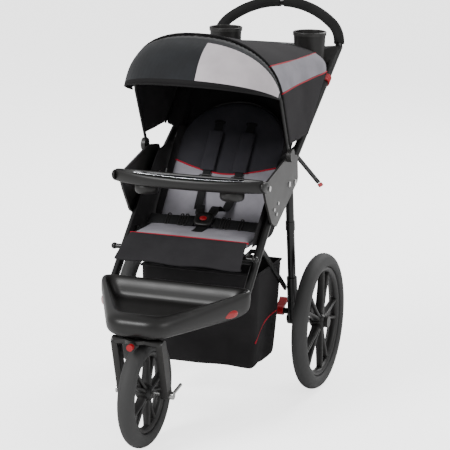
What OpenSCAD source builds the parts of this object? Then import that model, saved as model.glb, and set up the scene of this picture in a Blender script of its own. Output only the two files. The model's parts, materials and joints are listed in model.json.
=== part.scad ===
// Three-wheeled jogging stroller.
// X is across (+X is the child's left), Y runs from the front wheel (-Y) to the handle (+Y), Z is up.
// The origin lies on the ground under the middle of the stroller's overall length.

/* [Wheels] */
// Outside radius of a rear tyre
rear_wheel_r = 203; // [180:1:215]
// Outside radius of the front tyre
front_wheel_r = 152.5; // [130:0.5:156]
// Radius of a tyre's round section
tyre_r = 23.5; // [18:0.5:26]
// Distance between the rear wheels' middle planes
rear_track = 555; // [540:5:640]
// Rear axle's distance behind the origin
rear_axle_y = 178; // [165:1:200]
// Front axle's distance ahead of the origin
front_axle_y = 482; // [470:1:500]
// Radius of the wheel axles
axle_r = 6; // [5:0.5:8]
// Number of spokes in a wheel
spokes = 5; // [3:1:7]

/* [Frame tubes] */
// Radius of the frame tubes
tube_r = 12; // [10:0.5:12.5]
// Distance from the middle to a frame tube's axis
frame_half_w = 200; // [196:1:206]
// Radius of the fold's pivot pins
pin_r = 5; // [4:0.5:6]
// Radial clearance of a pin or shaft in its running bore
running_gap = 0.06; // [0.03:0.01:0.1]
// Gap between neighbouring pieces that move apart
clear_gap = 0.3; // [0.3:0.1:1]
// Thickness of a side bracket's plate
bracket_t = 6.2; // [5:0.1:6.4]

/* [Handle] */
// Radius of the corners of the handle's loop
loop_corner_r = 90; // [70:5:110]
// Outside radius of the foam grips
grip_r = 16.5; // [14:0.5:19]
// Gap between the two foam grips at the middle
grip_gap = 14; // [8:1:30]
// Inside radius of a parent cup holder at its rim
cup_r = 45; // [40:1:46]
// Depth of a parent cup holder
cup_depth = 78; // [60:1:85]
// Wall of the moulded plastic pieces
wall = 4; // [3:0.5:5]

/* [Canopy and seat] */
// Half of the canopy's width
canopy_half_w = 224; // [223.5:0.5:230]
// Height of the canopy's front bow above its pivot, along the bow
canopy_rise = 388; // [370:1:400]
// Thickness of the canopy cloth with its lining
cloth_t = 4; // [3:0.5:5]
// Width of the seat and of the backrest
seat_w = 326; // [300:2:330]
// Length of the backrest
back_len = 420; // [380:5:440]
// Thickness of the seat pads
pad_t = 24; // [18:1:28]

/* [Child tray and basket] */
// Inside radius of the child tray's cup wells
child_cup_r = 33; // [28:1:35]
// Half of the basket's width
basket_half_w = 177; // [160:1:178]
// Length of the basket from front to back
basket_len = 215; // [190:5:220]
// Height of the basket
basket_h = 285; // [240:5:290]

/* [Hidden] */
$fn = 48;
HULL_FN = 32;
FACET_FN = 20;
EPS = 0.01;

// Side view places, as [y, z].
HANDLE_PIVOT = [62, 635.6];
LEG_PIVOT = [113, 632];
CANOPY_PIVOT = [50, 722];
RECLINE_PIVOT = [6, 500];
TRAY_PIVOT = [-140, 664];
BRACE_PIVOT = [-112, 507];
DOWN_TUBE_TOP = [-22, 597];
DOWN_TUBE_END = [-274, 349];
LEG_FOOT = [174, 196];
HANDLE_BEND = [572, 963];
HANDLE_TOP = [619, 1085];
STEER_Y = -530;
AXLE_BEAM = [168, 226];

rear_axle = [rear_axle_y, rear_wheel_r];
front_axle = [-front_axle_y, front_wheel_r];
plate_in = frame_half_w + tube_r + clear_gap;
plate_out = plate_in + bracket_t;
knuckle_r = tube_r + 1;
bend_r = tube_r + 0.3;
// Inner side of the frame tubes, and the two faces of the braces beside the seat's cloth walls.
tube_in = frame_half_w - tube_r;
brace_out = tube_in - clear_gap - cloth_t - 0.5;
brace_in = brace_out - 5;
tray_arm_in = plate_out + clear_gap;
tray_arm_out = tray_arm_in + 9;
back_roll_r = 11;
seat_top = 512;
seat_front = -168;
flap_r = 5;
calf_bar_r = 7;
nose_floor = 2 * front_wheel_r + 15;
crown_top = nose_floor - 1;
stem_r = 12;

FLAP_TOP = [seat_front - clear_gap, seat_top - 6];
FLAP_LOW = [-262, 457];
flap_dir = unit(FLAP_LOW - FLAP_TOP);
CALF_BAR = FLAP_TOP + 45 * flap_dir
         + (flap_r * abs(flap_dir[0]) + calf_bar_r + clear_gap) * [-flap_dir[1], flap_dir[0]];

plastic = "#2c2b2a";
steel_black = "#232323";
foam = "#333232";
cloth_black = "#2b2a2c";
cloth_grey = "#8d8b90";
signal_red = "#c01822";

// ---------- helpers ----------

function at(x, p) = [x, p[0], p[1]];
function mix(a, b, t) = a + (b - a) * t;
function unit(v) = v / norm(v);

// Straight round bar from a to b.
module rod(a, b, r) {
    d = b - a;
    translate(a) rotate([0, acos(d[2] / norm(d)), atan2(d[1], d[0])]) cylinder(h = norm(d), r = r);
}

// Round bar along X, centred on the side view place p.
module crossbar(x0, x1, p, r) {
    translate(at(x0, p)) rotate([0, 90, 0]) cylinder(h = x1 - x0, r = r);
}

// Mirrors a right-hand piece to the left for side = -1.
module on_side(side) {
    if (side < 0) mirror([1, 0, 0]) children();
    else children();
}

// Flat outline in the side view, extruded from x0 to x1.
module side_plate(x0, x1) {
    translate([x0, 0, 0]) rotate([90, 0, 90]) linear_extrude(x1 - x0) children();
}

// Tube swept along a planar path; across is the plane's normal.
module swept_tube(path, across, r, sides = 10) {
    n = len(path);
    points = [for (i = [0 : n - 1])
        let (ahead = path[min(i + 1, n - 1)], behind = path[max(i - 1, 0)],
             out = unit(cross(ahead - behind, across)))
        for (k = [0 : sides - 1])
            path[i] + r * (cos(360 * k / sides) * across + sin(360 * k / sides) * out)];
    skin = [for (i = [0 : n - 2]) for (k = [0 : sides - 1])
        [(i + 1) * sides + k, (i + 1) * sides + (k + 1) % sides,
         i * sides + (k + 1) % sides, i * sides + k]];
    first = [for (k = [0 : sides - 1]) k];
    last = [for (k = [sides - 1 : -1 : 0]) (n - 1) * sides + k];
    polyhedron(points, concat([first], skin, [last]), convexity = 6);
}

// Closed sheet between two grids of points with the same rows and columns.
module sheet_between(outer, inner) {
    rows = len(outer);
    cols = len(outer[0]);
    size = rows * cols;
    function id(i, j, side) = side * size + i * cols + j;
    function quad(a, b, c, d) = [[a, b, c], [a, c, d]];
    points = concat([for (row = outer) for (p = row) p], [for (row = inner) for (p = row) p]);
    faces = [
        for (i = [0 : rows - 2]) for (j = [0 : cols - 2])
            each concat(quad(id(i, j, 0), id(i, j + 1, 0), id(i + 1, j + 1, 0), id(i + 1, j, 0)),
                        quad(id(i, j, 1), id(i + 1, j, 1), id(i + 1, j + 1, 1), id(i, j + 1, 1))),
        for (j = [0 : cols - 2])
            each concat(quad(id(0, j, 0), id(0, j, 1), id(0, j + 1, 1), id(0, j + 1, 0)),
                        quad(id(rows - 1, j, 0), id(rows - 1, j + 1, 0), id(rows - 1, j + 1, 1),
                             id(rows - 1, j, 1))),
        for (i = [0 : rows - 2])
            each concat(quad(id(i, 0, 0), id(i + 1, 0, 0), id(i + 1, 0, 1), id(i, 0, 1)),
                        quad(id(i, cols - 1, 0), id(i, cols - 1, 1), id(i + 1, cols - 1, 1),
                             id(i + 1, cols - 1, 0)))];
    polyhedron(points, faces, convexity = 8);
}

// ---------- wheels ----------

rim_width = tyre_r * 1.25;
rim_depth = 15;
hub_r = 22;
hub_len = 46;

function rim_r(wheel_r) = wheel_r - 2 * tyre_r + 6.5;

module tyre(wheel_r) {
    color(foam) rotate([0, 90, 0]) difference() {
        rotate_extrude($fn = 96) translate([wheel_r - tyre_r, 0]) circle(r = tyre_r);
        cylinder(h = rim_width + 2 * clear_gap, r = rim_r(wheel_r) + 0.05, center = true, $fn = 96);
    }
}

module rim(wheel_r, bore_r) {
    outer = rim_r(wheel_r);
    inner = outer - rim_depth;
    color(plastic) rotate([0, 90, 0]) difference() {
        union() {
            difference() {
                cylinder(h = rim_width, r = outer, center = true, $fn = 96);
                cylinder(h = rim_width + 1, r = inner, center = true, $fn = 96);
            }
            cylinder(h = hub_len, r = hub_r, center = true);
            for (i = [0 : spokes - 1]) rotate([0, 0, 360 * i / spokes]) rim_spoke(inner);
        }
        cylinder(h = hub_len + 1, r = bore_r, center = true);
    }
}

// Forked spoke: two ribs that part towards the rim, on a thin web.
module rim_spoke(inner) {
    root = hub_r - 4;
    tip = inner + 3;
    for (s = [-1, 1])
        linear_extrude(14, center = true)
            polygon([[root, s * 2], [tip, s * inner * 0.16], [tip, s * (inner * 0.16 + 9)], [root, s * 11]]);
    linear_extrude(5, center = true)
        polygon([[root, -9], [inner * 0.62, -inner * 0.1 - 4], [inner * 0.62, inner * 0.1 + 4], [root, 9]]);
}

module front_tyre() { translate(at(0, front_axle)) tyre(front_wheel_r); }
module front_rim() { translate(at(0, front_axle)) rim(front_wheel_r, axle_r + running_gap); }
module rear_tyre(side) { translate(at(side * rear_track / 2, rear_axle)) tyre(rear_wheel_r); }
module rear_rim(side) {
    translate(at(side * rear_track / 2, rear_axle)) rim(rear_wheel_r, axle_r + running_gap);
}

module front_valve() {
    reach = rim_r(front_wheel_r) - rim_depth;
    color("silver") translate(at(0, front_axle)) rotate([198, 0, 0]) translate([0, 0, reach - 22.2]) {
        cylinder(h = 22, r = 2.6);
        cylinder(h = 9, r = 4);
    }
}

module hub_cap(side) {
    x = rear_track / 2 + hub_len / 2 + clear_gap;
    color(steel_black) on_side(side) translate(at(x, rear_axle)) rotate([0, 90, 0]) {
        difference() {
            cylinder(h = 9, r = 17);
            translate([0, 0, -1]) cylinder(h = 6, r = axle_r + 0.05);
        }
    }
}

// ---------- nose and front frame ----------

EAR = [frame_half_w, -266];

module nose_outline(grow, low, high) {
    hull() {
        for (s = [-1, 1]) {
            translate([s * EAR[0], EAR[1], low + 22]) cylinder(h = high - low - 22, r = 24 + grow, $fn = HULL_FN);
            translate([s * (EAR[0] - 42), EAR[1] - 20, low]) cylinder(h = 22, r = 20 + grow, $fn = HULL_FN);
            translate([s * 30, -496, low]) cylinder(h = 10, r = 52 + grow, $fn = HULL_FN);
            translate([s * 32, -500, low + 22]) cylinder(h = high - low - 42, r = 68 + grow, $fn = HULL_FN);
        }
    }
}

module nose_shell() {
    color(plastic) difference() {
        nose_outline(0, nose_floor, 405);
        // footwell dished into the top
        hull() {
            for (s = [-1, 1]) {
                translate([s * 158, -292, 348]) cylinder(h = 80, r = 16, $fn = HULL_FN);
                translate([s * 172, -286, 395]) cylinder(h = 30, r = 14, $fn = HULL_FN);
                translate([s * 44, -446, 366]) cylinder(h = 60, r = 34, $fn = HULL_FN);
                translate([s * 56, -452, 400]) cylinder(h = 20, r = 40, $fn = HULL_FN);
            }
        }
        // hollow underside behind the steering boss
        hull() {
            for (s = [-1, 1]) {
                translate([s * 132, -290, nose_floor - 1]) cylinder(h = 19, r = 10, $fn = HULL_FN);
                translate([s * 70, -420, nose_floor - 1]) cylinder(h = 24, r = 10, $fn = HULL_FN);
            }
        }
        translate([0, STEER_Y, nose_floor - 1]) cylinder(h = 56, r = stem_r + running_gap);
        for (s = [-1, 1]) {
            rod(at(s * frame_half_w, DOWN_TUBE_TOP), at(s * frame_half_w, DOWN_TUBE_END), tube_r + 0.05);
        }
        for (s = [-1, 1]) on_side(s) reflector_body(0.05);
    }
}

// Lens set into the nose's flank; grow enlarges it into its pocket.
module reflector_body(grow) {
    translate([176, -330, 350]) rotate([0, 0, -36]) rotate([0, 90, 0]) hull()
        for (s = [-1, 1]) translate([0, s * 13, 0]) cylinder(h = 20, r = 13 + grow, $fn = HULL_FN);
}

module reflector(side) {
    color(signal_red) on_side(side) reflector_body(0);
}

module down_tube(side) {
    color(steel_black) on_side(side)
        rod(at(frame_half_w, DOWN_TUBE_END), at(frame_half_w, DOWN_TUBE_TOP), tube_r);
}

// Bar under the calf flap, on two arms from the down tubes, with round end knobs.
module calf_support_bar() {
    arm_x = frame_half_w - 22;
    arm_r = 6;
    elbow_r = arm_r + 0.3;
    arm_end = [-140, seat_top - pad_t - clear_gap - elbow_r];
    color(steel_black) {
        crossbar(-frame_half_w - 8, frame_half_w + 8, CALF_BAR, calf_bar_r);
        for (s = [-1, 1]) {
            translate(at(s * (frame_half_w + 12), CALF_BAR)) sphere(r = 9.5);
            on_side(s) {
                rod(at(arm_x, CALF_BAR), at(arm_x, arm_end), arm_r);
                translate(at(arm_x, arm_end)) sphere(r = elbow_r);
                crossbar(arm_x, tube_in - clear_gap, arm_end, arm_r);
            }
        }
    }
}

module seat_cross_tube() {
    color(steel_black) crossbar(-tube_in + clear_gap, tube_in - clear_gap, [-165, 456], 8);
}

// Outline of a side bracket in the side view.
module bracket_outline() {
    hull() for (p = [[52, 704], [118, 694], [124, 642], [20, 590], [-48, 552], [-76, 566], [-122, 634], [-136, 660]])
        translate(p) circle(r = 17, $fn = HULL_FN);
}

module side_bracket(side) {
    color(plastic) on_side(side) difference() {
        side_plate(plate_in, plate_out) bracket_outline();
        for (p = [HANDLE_PIVOT, LEG_PIVOT, TRAY_PIVOT]) crossbar(plate_in - 1, plate_out + 1, p, pin_r + 0.05);
    }
}

// Fold pins with domed heads outside the bracket, and the rivets that hold the down tube.
module pivot_pins(side) {
    color("silver") on_side(side) {
        for (p = [HANDLE_PIVOT, LEG_PIVOT]) {
            crossbar(frame_half_w - knuckle_r - 1.5, plate_out + 0.05, p, pin_r);
            crossbar(plate_out + 0.05, plate_out + 2.2, p, pin_r + 3);
            crossbar(frame_half_w - knuckle_r - 4, frame_half_w - knuckle_r - 1.5, p, pin_r + 3);
        }
        for (p = [[-48, 571], [-68, 588], [-34, 600]])
            crossbar(plate_out + 0.05, plate_out + 2, p, 5);
        crossbar(plate_in - 0.1, tray_arm_out + clear_gap, TRAY_PIVOT, pin_r);
        crossbar(tray_arm_out + clear_gap - EPS, tray_arm_out + clear_gap + 3, TRAY_PIVOT, pin_r + 3);
    }
}

// ---------- seat and soft pieces on the frame ----------

module seat_pad() {
    half = brace_in - clear_gap;
    edge = 6;
    rear = RECLINE_PIVOT[0] - back_roll_r - clear_gap - edge;
    color(cloth_grey) hull()
        for (y = [seat_front + edge, rear]) for (z = [seat_top - edge, seat_top - pad_t + edge])
            crossbar(-half, half, [y, z], edge, $fn = HULL_FN);
}

module calf_flap() {
    color(cloth_black) hull() {
        for (s = [-1, 1]) {
            rod(at(s * 176, FLAP_TOP - [0.5, 0]), at(s * 176, FLAP_TOP), flap_r, $fn = FACET_FN);
            rod(at(s * 190, FLAP_LOW), at(s * 190, FLAP_LOW + [1, 0]), flap_r - 1, $fn = FACET_FN);
        }
    }
}

// Cloth wall beside the seat, with openings round the fold pins' heads and the brace's stub.
module side_panel(side) {
    color(cloth_black) on_side(side) difference() {
        side_plate(tube_in - clear_gap - cloth_t, tube_in - clear_gap)
            polygon([[-166, 496], [10, 496], [120, 590], [214, 704], [200, 722], [60, 706], [-60, 606], [-140, 530]]);
        for (p = [HANDLE_PIVOT, LEG_PIVOT]) crossbar(tube_in - 10, tube_in + 1, p, pin_r + 3 + clear_gap);
        crossbar(tube_in - 10, tube_in + 1, BRACE_PIVOT, 6 + clear_gap);
    }
}

// The harness lies on the seat: the buckle rests on the crotch strap between the two belts.
buckle_y = -41;
strap_t = 3;
button_r = 10;
buckle_low = seat_top + 2 * clear_gap + strap_t;

module crotch_strap() {
    color(steel_black) translate([-14, buckle_y - 70, seat_top + clear_gap]) cube([28, 52, strap_t]);
}

module waist_belt() {
    color(steel_black) for (s = [-1, 1]) on_side(s)
        translate([30 + clear_gap, buckle_y - 18, seat_top + clear_gap]) cube([brace_in - clear_gap - 34, 36, 5]);
}

module harness_buckle() {
    color(plastic) difference() {
        translate([-30, buckle_y - 27, buckle_low]) cube([60, 54, 14]);
        translate([0, buckle_y, buckle_low + 6]) cylinder(h = 12, r = button_r + running_gap);
    }
}

module buckle_button() {
    color(signal_red) translate([0, buckle_y, buckle_low + 9]) cylinder(h = 7, r = button_r);
}

basket_top = 398;
basket_front = -92;

// Open cloth box with sloping walls and a wider rim.
module basket() {
    rim_half = brace_in - clear_gap;
    module block(inset, low, high) {
        hull() {
            translate([-basket_half_w + inset + 8, basket_front + inset + 6, low])
                cube([2 * (basket_half_w - inset) - 16, basket_len - 2 * inset - 40, 1]);
            translate([-rim_half + inset, basket_front + inset, high - 1])
                cube([2 * (rim_half - inset), basket_len - 2 * inset, 1]);
        }
    }
    color(cloth_black) difference() {
        block(0, basket_top - basket_h, basket_top);
        block(cloth_t, basket_top - basket_h + cloth_t, basket_top + 1);
    }
}

STRAP_TOP = [tube_in + 1.5, 200, 695];
STRAP_END = [246, 250, 606];

module strap_bar(a, b, w) {
    hull() {
        translate(a) cube([3, w, 3], center = true);
        translate(b) cube([3, w, 3], center = true);
    }
}

module recline_strap() { color(steel_black) strap_bar(STRAP_TOP, STRAP_END, 24); }

module recline_strap_tab() {
    a = STRAP_END + 5.5 * unit(STRAP_END - STRAP_TOP);
    color(signal_red) strap_bar(a, a + 9 * unit(STRAP_END - STRAP_TOP), 30);
}

// ---------- fork ----------

leg_x = 56;
leg_t = 18;

module front_fork() {
    color(plastic) difference() {
        union() {
            translate([0, STEER_Y, crown_top - 9]) cylinder(h = 9, r = 36);
            translate([0, STEER_Y, crown_top - EPS]) cylinder(h = 52, r = stem_r);
            for (s = [-1, 1]) on_side(s) {
                hull() {
                    crossbar(leg_x, leg_x + leg_t, [STEER_Y + 4, crown_top - 16], 15, $fn = HULL_FN);
                    crossbar(leg_x, leg_x + leg_t, [-front_axle_y - 3, front_wheel_r + 4], 15, $fn = HULL_FN);
                }
                hull() {
                    translate([20, STEER_Y, crown_top - 9]) cylinder(h = 8, r = 24, $fn = HULL_FN);
                    crossbar(leg_x, leg_x + leg_t, [STEER_Y + 4, crown_top - 14], 12, $fn = HULL_FN);
                }
                crossbar(leg_x - 8, leg_x + EPS, front_axle, 13);
            }
            // boss for the swivel lock, ahead of the tyre
            rod([0, STEER_Y - 44, crown_top - 13], [0, STEER_Y - 20, crown_top - 13], 12);
        }
        crossbar(-leg_x - leg_t - 2, leg_x + leg_t + 2, front_axle, axle_r + 0.05);
        rod([0, STEER_Y - 45, crown_top - 13], [0, STEER_Y - 34, crown_top - 13], 5 + running_gap);
        translate(at(0, front_axle)) rotate([0, 90, 0])
            cylinder(h = 2 * tyre_r + 12, r = front_wheel_r + 3, center = true, $fn = 96);
    }
}

module front_axle() {
    color("silver") {
        crossbar(-leg_x - leg_t - 9, leg_x + leg_t + 10, front_axle, axle_r);
        crossbar(-leg_x - leg_t - 9, -leg_x - leg_t - 0.1, front_axle, 11);
    }
}

module quick_release_lever() {
    x = leg_x + leg_t + 0.3;
    color("silver") difference() {
        union() {
            crossbar(x, x + 10, front_axle, 11);
            rod([x + 6, -front_axle_y + 8, front_wheel_r + 4], [x + 9, -front_axle_y + 52, front_wheel_r + 16], 4.5);
        }
        crossbar(x - 1, x + 9.8, front_axle, axle_r + running_gap);
    }
}

module swivel_lock_knob() {
    color(signal_red) {
        rod([0, STEER_Y - 56, crown_top - 13], [0, STEER_Y - 44.4, crown_top - 13], 9);
        rod([0, STEER_Y - 46, crown_top - 13], [0, STEER_Y - 36, crown_top - 13], 5);
    }
}

// ---------- rear legs ----------

module rear_leg(side) {
    top = LEG_PIVOT;
    sleeve_top = mix(top, LEG_FOOT, 0.68);
    color(steel_black) on_side(side) difference() {
        union() {
            rod(at(frame_half_w, top), at(frame_half_w, LEG_FOOT), tube_r);
            crossbar(frame_half_w - knuckle_r + 1, frame_half_w + knuckle_r - 1, top, knuckle_r);
            rod(at(frame_half_w, sleeve_top), at(frame_half_w, LEG_FOOT), tube_r + 3.5);
            rod(at(frame_half_w, mix(top, LEG_FOOT, 0.28)), at(frame_half_w, mix(top, LEG_FOOT, 0.34)), tube_r + 2);
            crossbar(frame_half_w - 16, frame_half_w + 18, rear_axle, 18);
        }
        crossbar(frame_half_w - 20, frame_half_w + 20, top, pin_r + running_gap);
        crossbar(frame_half_w - 20, frame_half_w + 22, rear_axle, axle_r + 0.05);
        crossbar(frame_half_w - 20, frame_half_w - tube_r + 8, AXLE_BEAM, 9.05);
    }
}

module rear_axle_beam() {
    color(steel_black) crossbar(-frame_half_w + tube_r - 8, frame_half_w - tube_r + 8, AXLE_BEAM, 9);
}

module rear_stub_axles() {
    tip = rear_track / 2 + hub_len / 2 + clear_gap + 4;
    color("silver") for (s = [-1, 1]) on_side(s) {
        crossbar(frame_half_w - 16, tip, rear_axle, axle_r);
        crossbar(frame_half_w - 20, frame_half_w - 16.1, rear_axle, 10);
        crossbar(frame_half_w + 18.1, rear_track / 2 - hub_len / 2 - clear_gap, rear_axle, 9);
    }
}

// Pedal on a collar that turns on the axle beam.
module brake_pedal(side) {
    x = frame_half_w - 52;
    color(signal_red) on_side(side) difference() {
        union() {
            crossbar(x, x + 24, AXLE_BEAM, 14);
            hull() {
                crossbar(x + 2, x + 22, [AXLE_BEAM[0] + 6, AXLE_BEAM[1] + 10], 6, $fn = HULL_FN);
                crossbar(x - 1, x + 25, [AXLE_BEAM[0] + 38, AXLE_BEAM[1] + 26], 5, $fn = HULL_FN);
            }
        }
        crossbar(x - 2, x + 27, AXLE_BEAM, 9 + running_gap);
    }
}

// Flat stay from the down tube towards the rear leg; its lower end is the open pivot.
module brace(side) {
    low = [152, 302];
    color(steel_black) on_side(side) {
        side_plate(brace_in, brace_out) hull() {
            translate(BRACE_PIVOT) circle(r = 9, $fn = HULL_FN);
            translate(low) circle(r = 8, $fn = HULL_FN);
        }
        crossbar(brace_out - EPS, tube_in - clear_gap, BRACE_PIVOT, 6);
    }
}

// ---------- handle ----------

handle_dir = unit(HANDLE_BEND - HANDLE_PIVOT);
loop_dir = unit(HANDLE_TOP - HANDLE_BEND);
loop_h = norm(HANDLE_TOP - HANDLE_BEND);
// The side arcs turn this far before the wide arc over the middle takes over.
LOOP_TURN = 50;
loop_top_r = (frame_half_w - loop_corner_r * (1 - cos(LOOP_TURN))) / cos(LOOP_TURN);

module handle_tube(side) {
    color(steel_black) on_side(side) difference() {
        union() {
            rod(at(frame_half_w, HANDLE_PIVOT), at(frame_half_w, HANDLE_BEND), tube_r);
            crossbar(frame_half_w - knuckle_r + 1, frame_half_w + knuckle_r - 1, HANDLE_PIVOT, knuckle_r);
            rod(at(frame_half_w, HANDLE_BEND), at(frame_half_w, HANDLE_BEND + 6 * loop_dir), tube_r);
            translate(at(frame_half_w, HANDLE_BEND)) sphere(r = bend_r);
        }
        crossbar(frame_half_w - 20, frame_half_w + 20, HANDLE_PIVOT, pin_r + running_gap);
    }
}

loop_side = [frame_half_w - loop_corner_r, 0];
loop_drop = (loop_corner_r - loop_top_r) * sin(LOOP_TURN);

// Place on the loop, u across and v up its plane, a degrees round from the right foot to the middle.
function loop_place(a) =
    let (p = a < LOOP_TURN ? loop_side + loop_corner_r * [cos(a), sin(a)]
                           : [loop_top_r * cos(a), loop_drop + loop_top_r * sin(a)])
    at(p[0], HANDLE_BEND + (6 + p[1]) * loop_dir);

loop_across = [0, -loop_dir[1], loop_dir[0]];

// Round section of radius r along the right half of the loop.
module loop_arc(r, from_a, to_a, steps) {
    swept_tube([for (i = [0 : steps]) loop_place(mix(from_a, to_a, i / steps))], loop_across, r, 16);
}

core_r = tube_r - 1;
grip_start_a = 4;
grip_end_a = 90 - asin(grip_gap / 2 / loop_top_r);

module handle_loop() {
    right = [for (i = [0 : 24]) loop_place(90 * i / 24)];
    left = [for (i = [23 : -1 : 0]) [-right[i][0], right[i][1], right[i][2]]];
    color(steel_black) difference() {
        swept_tube(concat(right, left), loop_across, core_r, 16);
        for (s = [-1, 1]) translate(at(s * frame_half_w, HANDLE_BEND)) sphere(r = bend_r + 0.05);
    }
}

module foam_grip(side) {
    color(foam) on_side(side) difference() {
        loop_arc(grip_r, grip_start_a, grip_end_a, 22);
        loop_arc(core_r + clear_gap, grip_start_a - 2, grip_end_a + 1, 26);
    }
}

module grip_joiner() {
    color(steel_black) difference() {
        crossbar(-grip_gap / 2 + 1.5, grip_gap / 2 - 1.5,
            HANDLE_TOP + (6 - (loop_h - loop_drop - loop_top_r)) * loop_dir, core_r + 2.5);
        crossbar(-grip_gap, grip_gap,
            HANDLE_TOP + (6 - (loop_h - loop_drop - loop_top_r)) * loop_dir, core_r + 0.1);
    }
}

// ---------- parent console ----------

CUP_PLACE = [478, 1018];
cup_x = 136;
console_back = 566;

// Outside of a cup holder, tapered towards its foot.
module cup_outside() {
    translate([0, 0, -cup_depth - wall]) cylinder(h = cup_depth + wall, r1 = cup_r + wall - 3.5, r2 = cup_r + wall);
    translate([0, 0, -9]) cylinder(h = 9, r = cup_r + wall + 2);
}

module cup_hollow() {
    translate([0, 0, -cup_depth]) cylinder(h = cup_depth + 1, r = cup_r);
}

module parent_console() {
    deck = 962;
    color(plastic) difference() {
        union() {
            for (s = [-1, 1]) {
                translate([s * cup_x, CUP_PLACE[0], CUP_PLACE[1]]) cup_outside();
            }
            // bin between the cups and wings over the tubes
            translate([-94, 446, deck - 40]) cube([188, console_back - 446, 40]);
            for (s = [-1, 1]) on_side(s) hull() {
                rod([80, 500, 932], [frame_half_w + 4, 514, 921], 12, $fn = HULL_FN);
                rod([80, console_back - 12, 948], [frame_half_w + 4, console_back - 4, 958], 12, $fn = HULL_FN);
            }
        }
        translate([-80, 458, deck - 36]) cube([160, console_back - 476, 60]);
        for (s = [-1, 1]) {
            translate([s * cup_x, CUP_PLACE[0], CUP_PLACE[1]]) cup_hollow();
            on_side(s) {
                rod(at(frame_half_w, HANDLE_PIVOT), at(frame_half_w, HANDLE_BEND), tube_r + 0.05);
                translate(at(frame_half_w, HANDLE_BEND)) sphere(r = bend_r + 0.05);
                rod(at(frame_half_w, HANDLE_BEND), at(frame_half_w, HANDLE_BEND + 40 * loop_dir), tube_r + 0.05);
            }
        }
    }
}

// Lid of the bin, hinged along its rear edge and just narrower than the space between the cups' lips.
lid_half = cup_x - cup_r - wall - 4;

module console_lid() {
    color(cloth_grey) {
        translate([-lid_half, 452, 962 + clear_gap]) cube([2 * lid_half, console_back - 464, 3]);
        crossbar(-lid_half, lid_half, [console_back - 11, 967.5], 4);
    }
}

TRIGGER_PLACE = 0.727;

// Sleeve on the handle tube with a finger wing under it.
module fold_trigger(side) {
    a = mix(HANDLE_PIVOT, HANDLE_BEND, TRIGGER_PLACE);
    b = a + 26 * handle_dir;
    under = [handle_dir[1], -handle_dir[0]];
    color(signal_red) on_side(side) difference() {
        union() {
            rod(at(frame_half_w, a), at(frame_half_w, b), tube_r + 4);
            rod(at(frame_half_w, a + 4 * handle_dir + 14 * under), at(frame_half_w, b - 4 * handle_dir + 14 * under), 7);
        }
        rod(at(frame_half_w, a - 2 * handle_dir), at(frame_half_w, b + 2 * handle_dir), tube_r + running_gap);
    }
}

// ---------- canopy ----------

BOW_ANGLE = 115;
BOW_SQUARENESS = 2 / 2.3;
SHOULDER_RISE = 190;
bow_r = 4.5;
bow_dir = [cos(BOW_ANGLE), sin(BOW_ANGLE)];
hub_disc_r = 19;

// Bow outline point, t from -1 (left foot) to 1 (right foot); inset shrinks it.
function bow_point(t, inset) =
    let (s = abs(t), side = t < 0 ? -1 : 1, half = canopy_half_w - inset, knee = SHOULDER_RISE,
         foot = hub_disc_r + 0.5, crown = canopy_rise - inset)
    s > 0.5
        ? let (r = mix(knee, foot, (s - 0.5) * 2)) at(side * half, CANOPY_PIVOT + r * bow_dir)
        : let (a = 90 * (1 - s * 2),
               r = knee + (crown - knee) * pow(sin(a), BOW_SQUARENESS))
          at(side * half * pow(cos(a), BOW_SQUARENESS), CANOPY_PIVOT + r * bow_dir);

BOW_STEPS = [for (i = [-8 : 8]) i / 8];

module canopy_hubs() {
    color(plastic) for (s = [-1, 1]) on_side(s)
        crossbar(plate_out + clear_gap, canopy_half_w + bow_r + 3, CANOPY_PIVOT, hub_disc_r);
}

module canopy_bow() {
    color(steel_black) swept_tube([for (t = BOW_STEPS) bow_point(t, bow_r)],
        [0, -bow_dir[1], bow_dir[0]], bow_r);
}

CANOPY_FOOT_REAR = [206, 760];
CANOPY_SHOULDER_REAR = [372, 918];
CANOPY_TOP_REAR = [420, 988];
COVER_ROWS = 6;

// Point of the canopy cover: v from 0 at the bow to 1 at the rear, t across as for the bow.
function cover_point(v, t, inset) =
    let (s = abs(t), side = t < 0 ? -1 : 1, half = canopy_half_w - inset,
         behind = (bow_r + clear_gap) * [bow_dir[1], -bow_dir[0]],
         foot = mix(CANOPY_PIVOT + 33 * bow_dir + behind, CANOPY_FOOT_REAR, v),
         knee = mix(CANOPY_PIVOT + SHOULDER_RISE * bow_dir + behind, CANOPY_SHOULDER_REAR, v),
         crown = mix(CANOPY_PIVOT + (canopy_rise - inset) * bow_dir + behind,
                     CANOPY_TOP_REAR - [0, inset], v))
    s > 0.5
        ? at(side * half, mix(knee, foot, (s - 0.5) * 2))
        : let (a = 90 * (1 - s * 2))
          at(side * half * pow(cos(a), BOW_SQUARENESS), mix(knee, crown, pow(sin(a), BOW_SQUARENESS)));

module canopy_cover() {
    rows = [for (i = [COVER_ROWS : -1 : 0]) i / COVER_ROWS];
    color(cloth_black) sheet_between(
        [for (v = rows) [for (t = BOW_STEPS) cover_point(v, t, 0)]],
        [for (v = rows) [for (t = BOW_STEPS) cover_point(v, t, cloth_t)]]);
}

VISOR_CORNER = [-50, 900];
VISOR_TIP = [-255, 955];
VISOR_T = 2.5;

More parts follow.
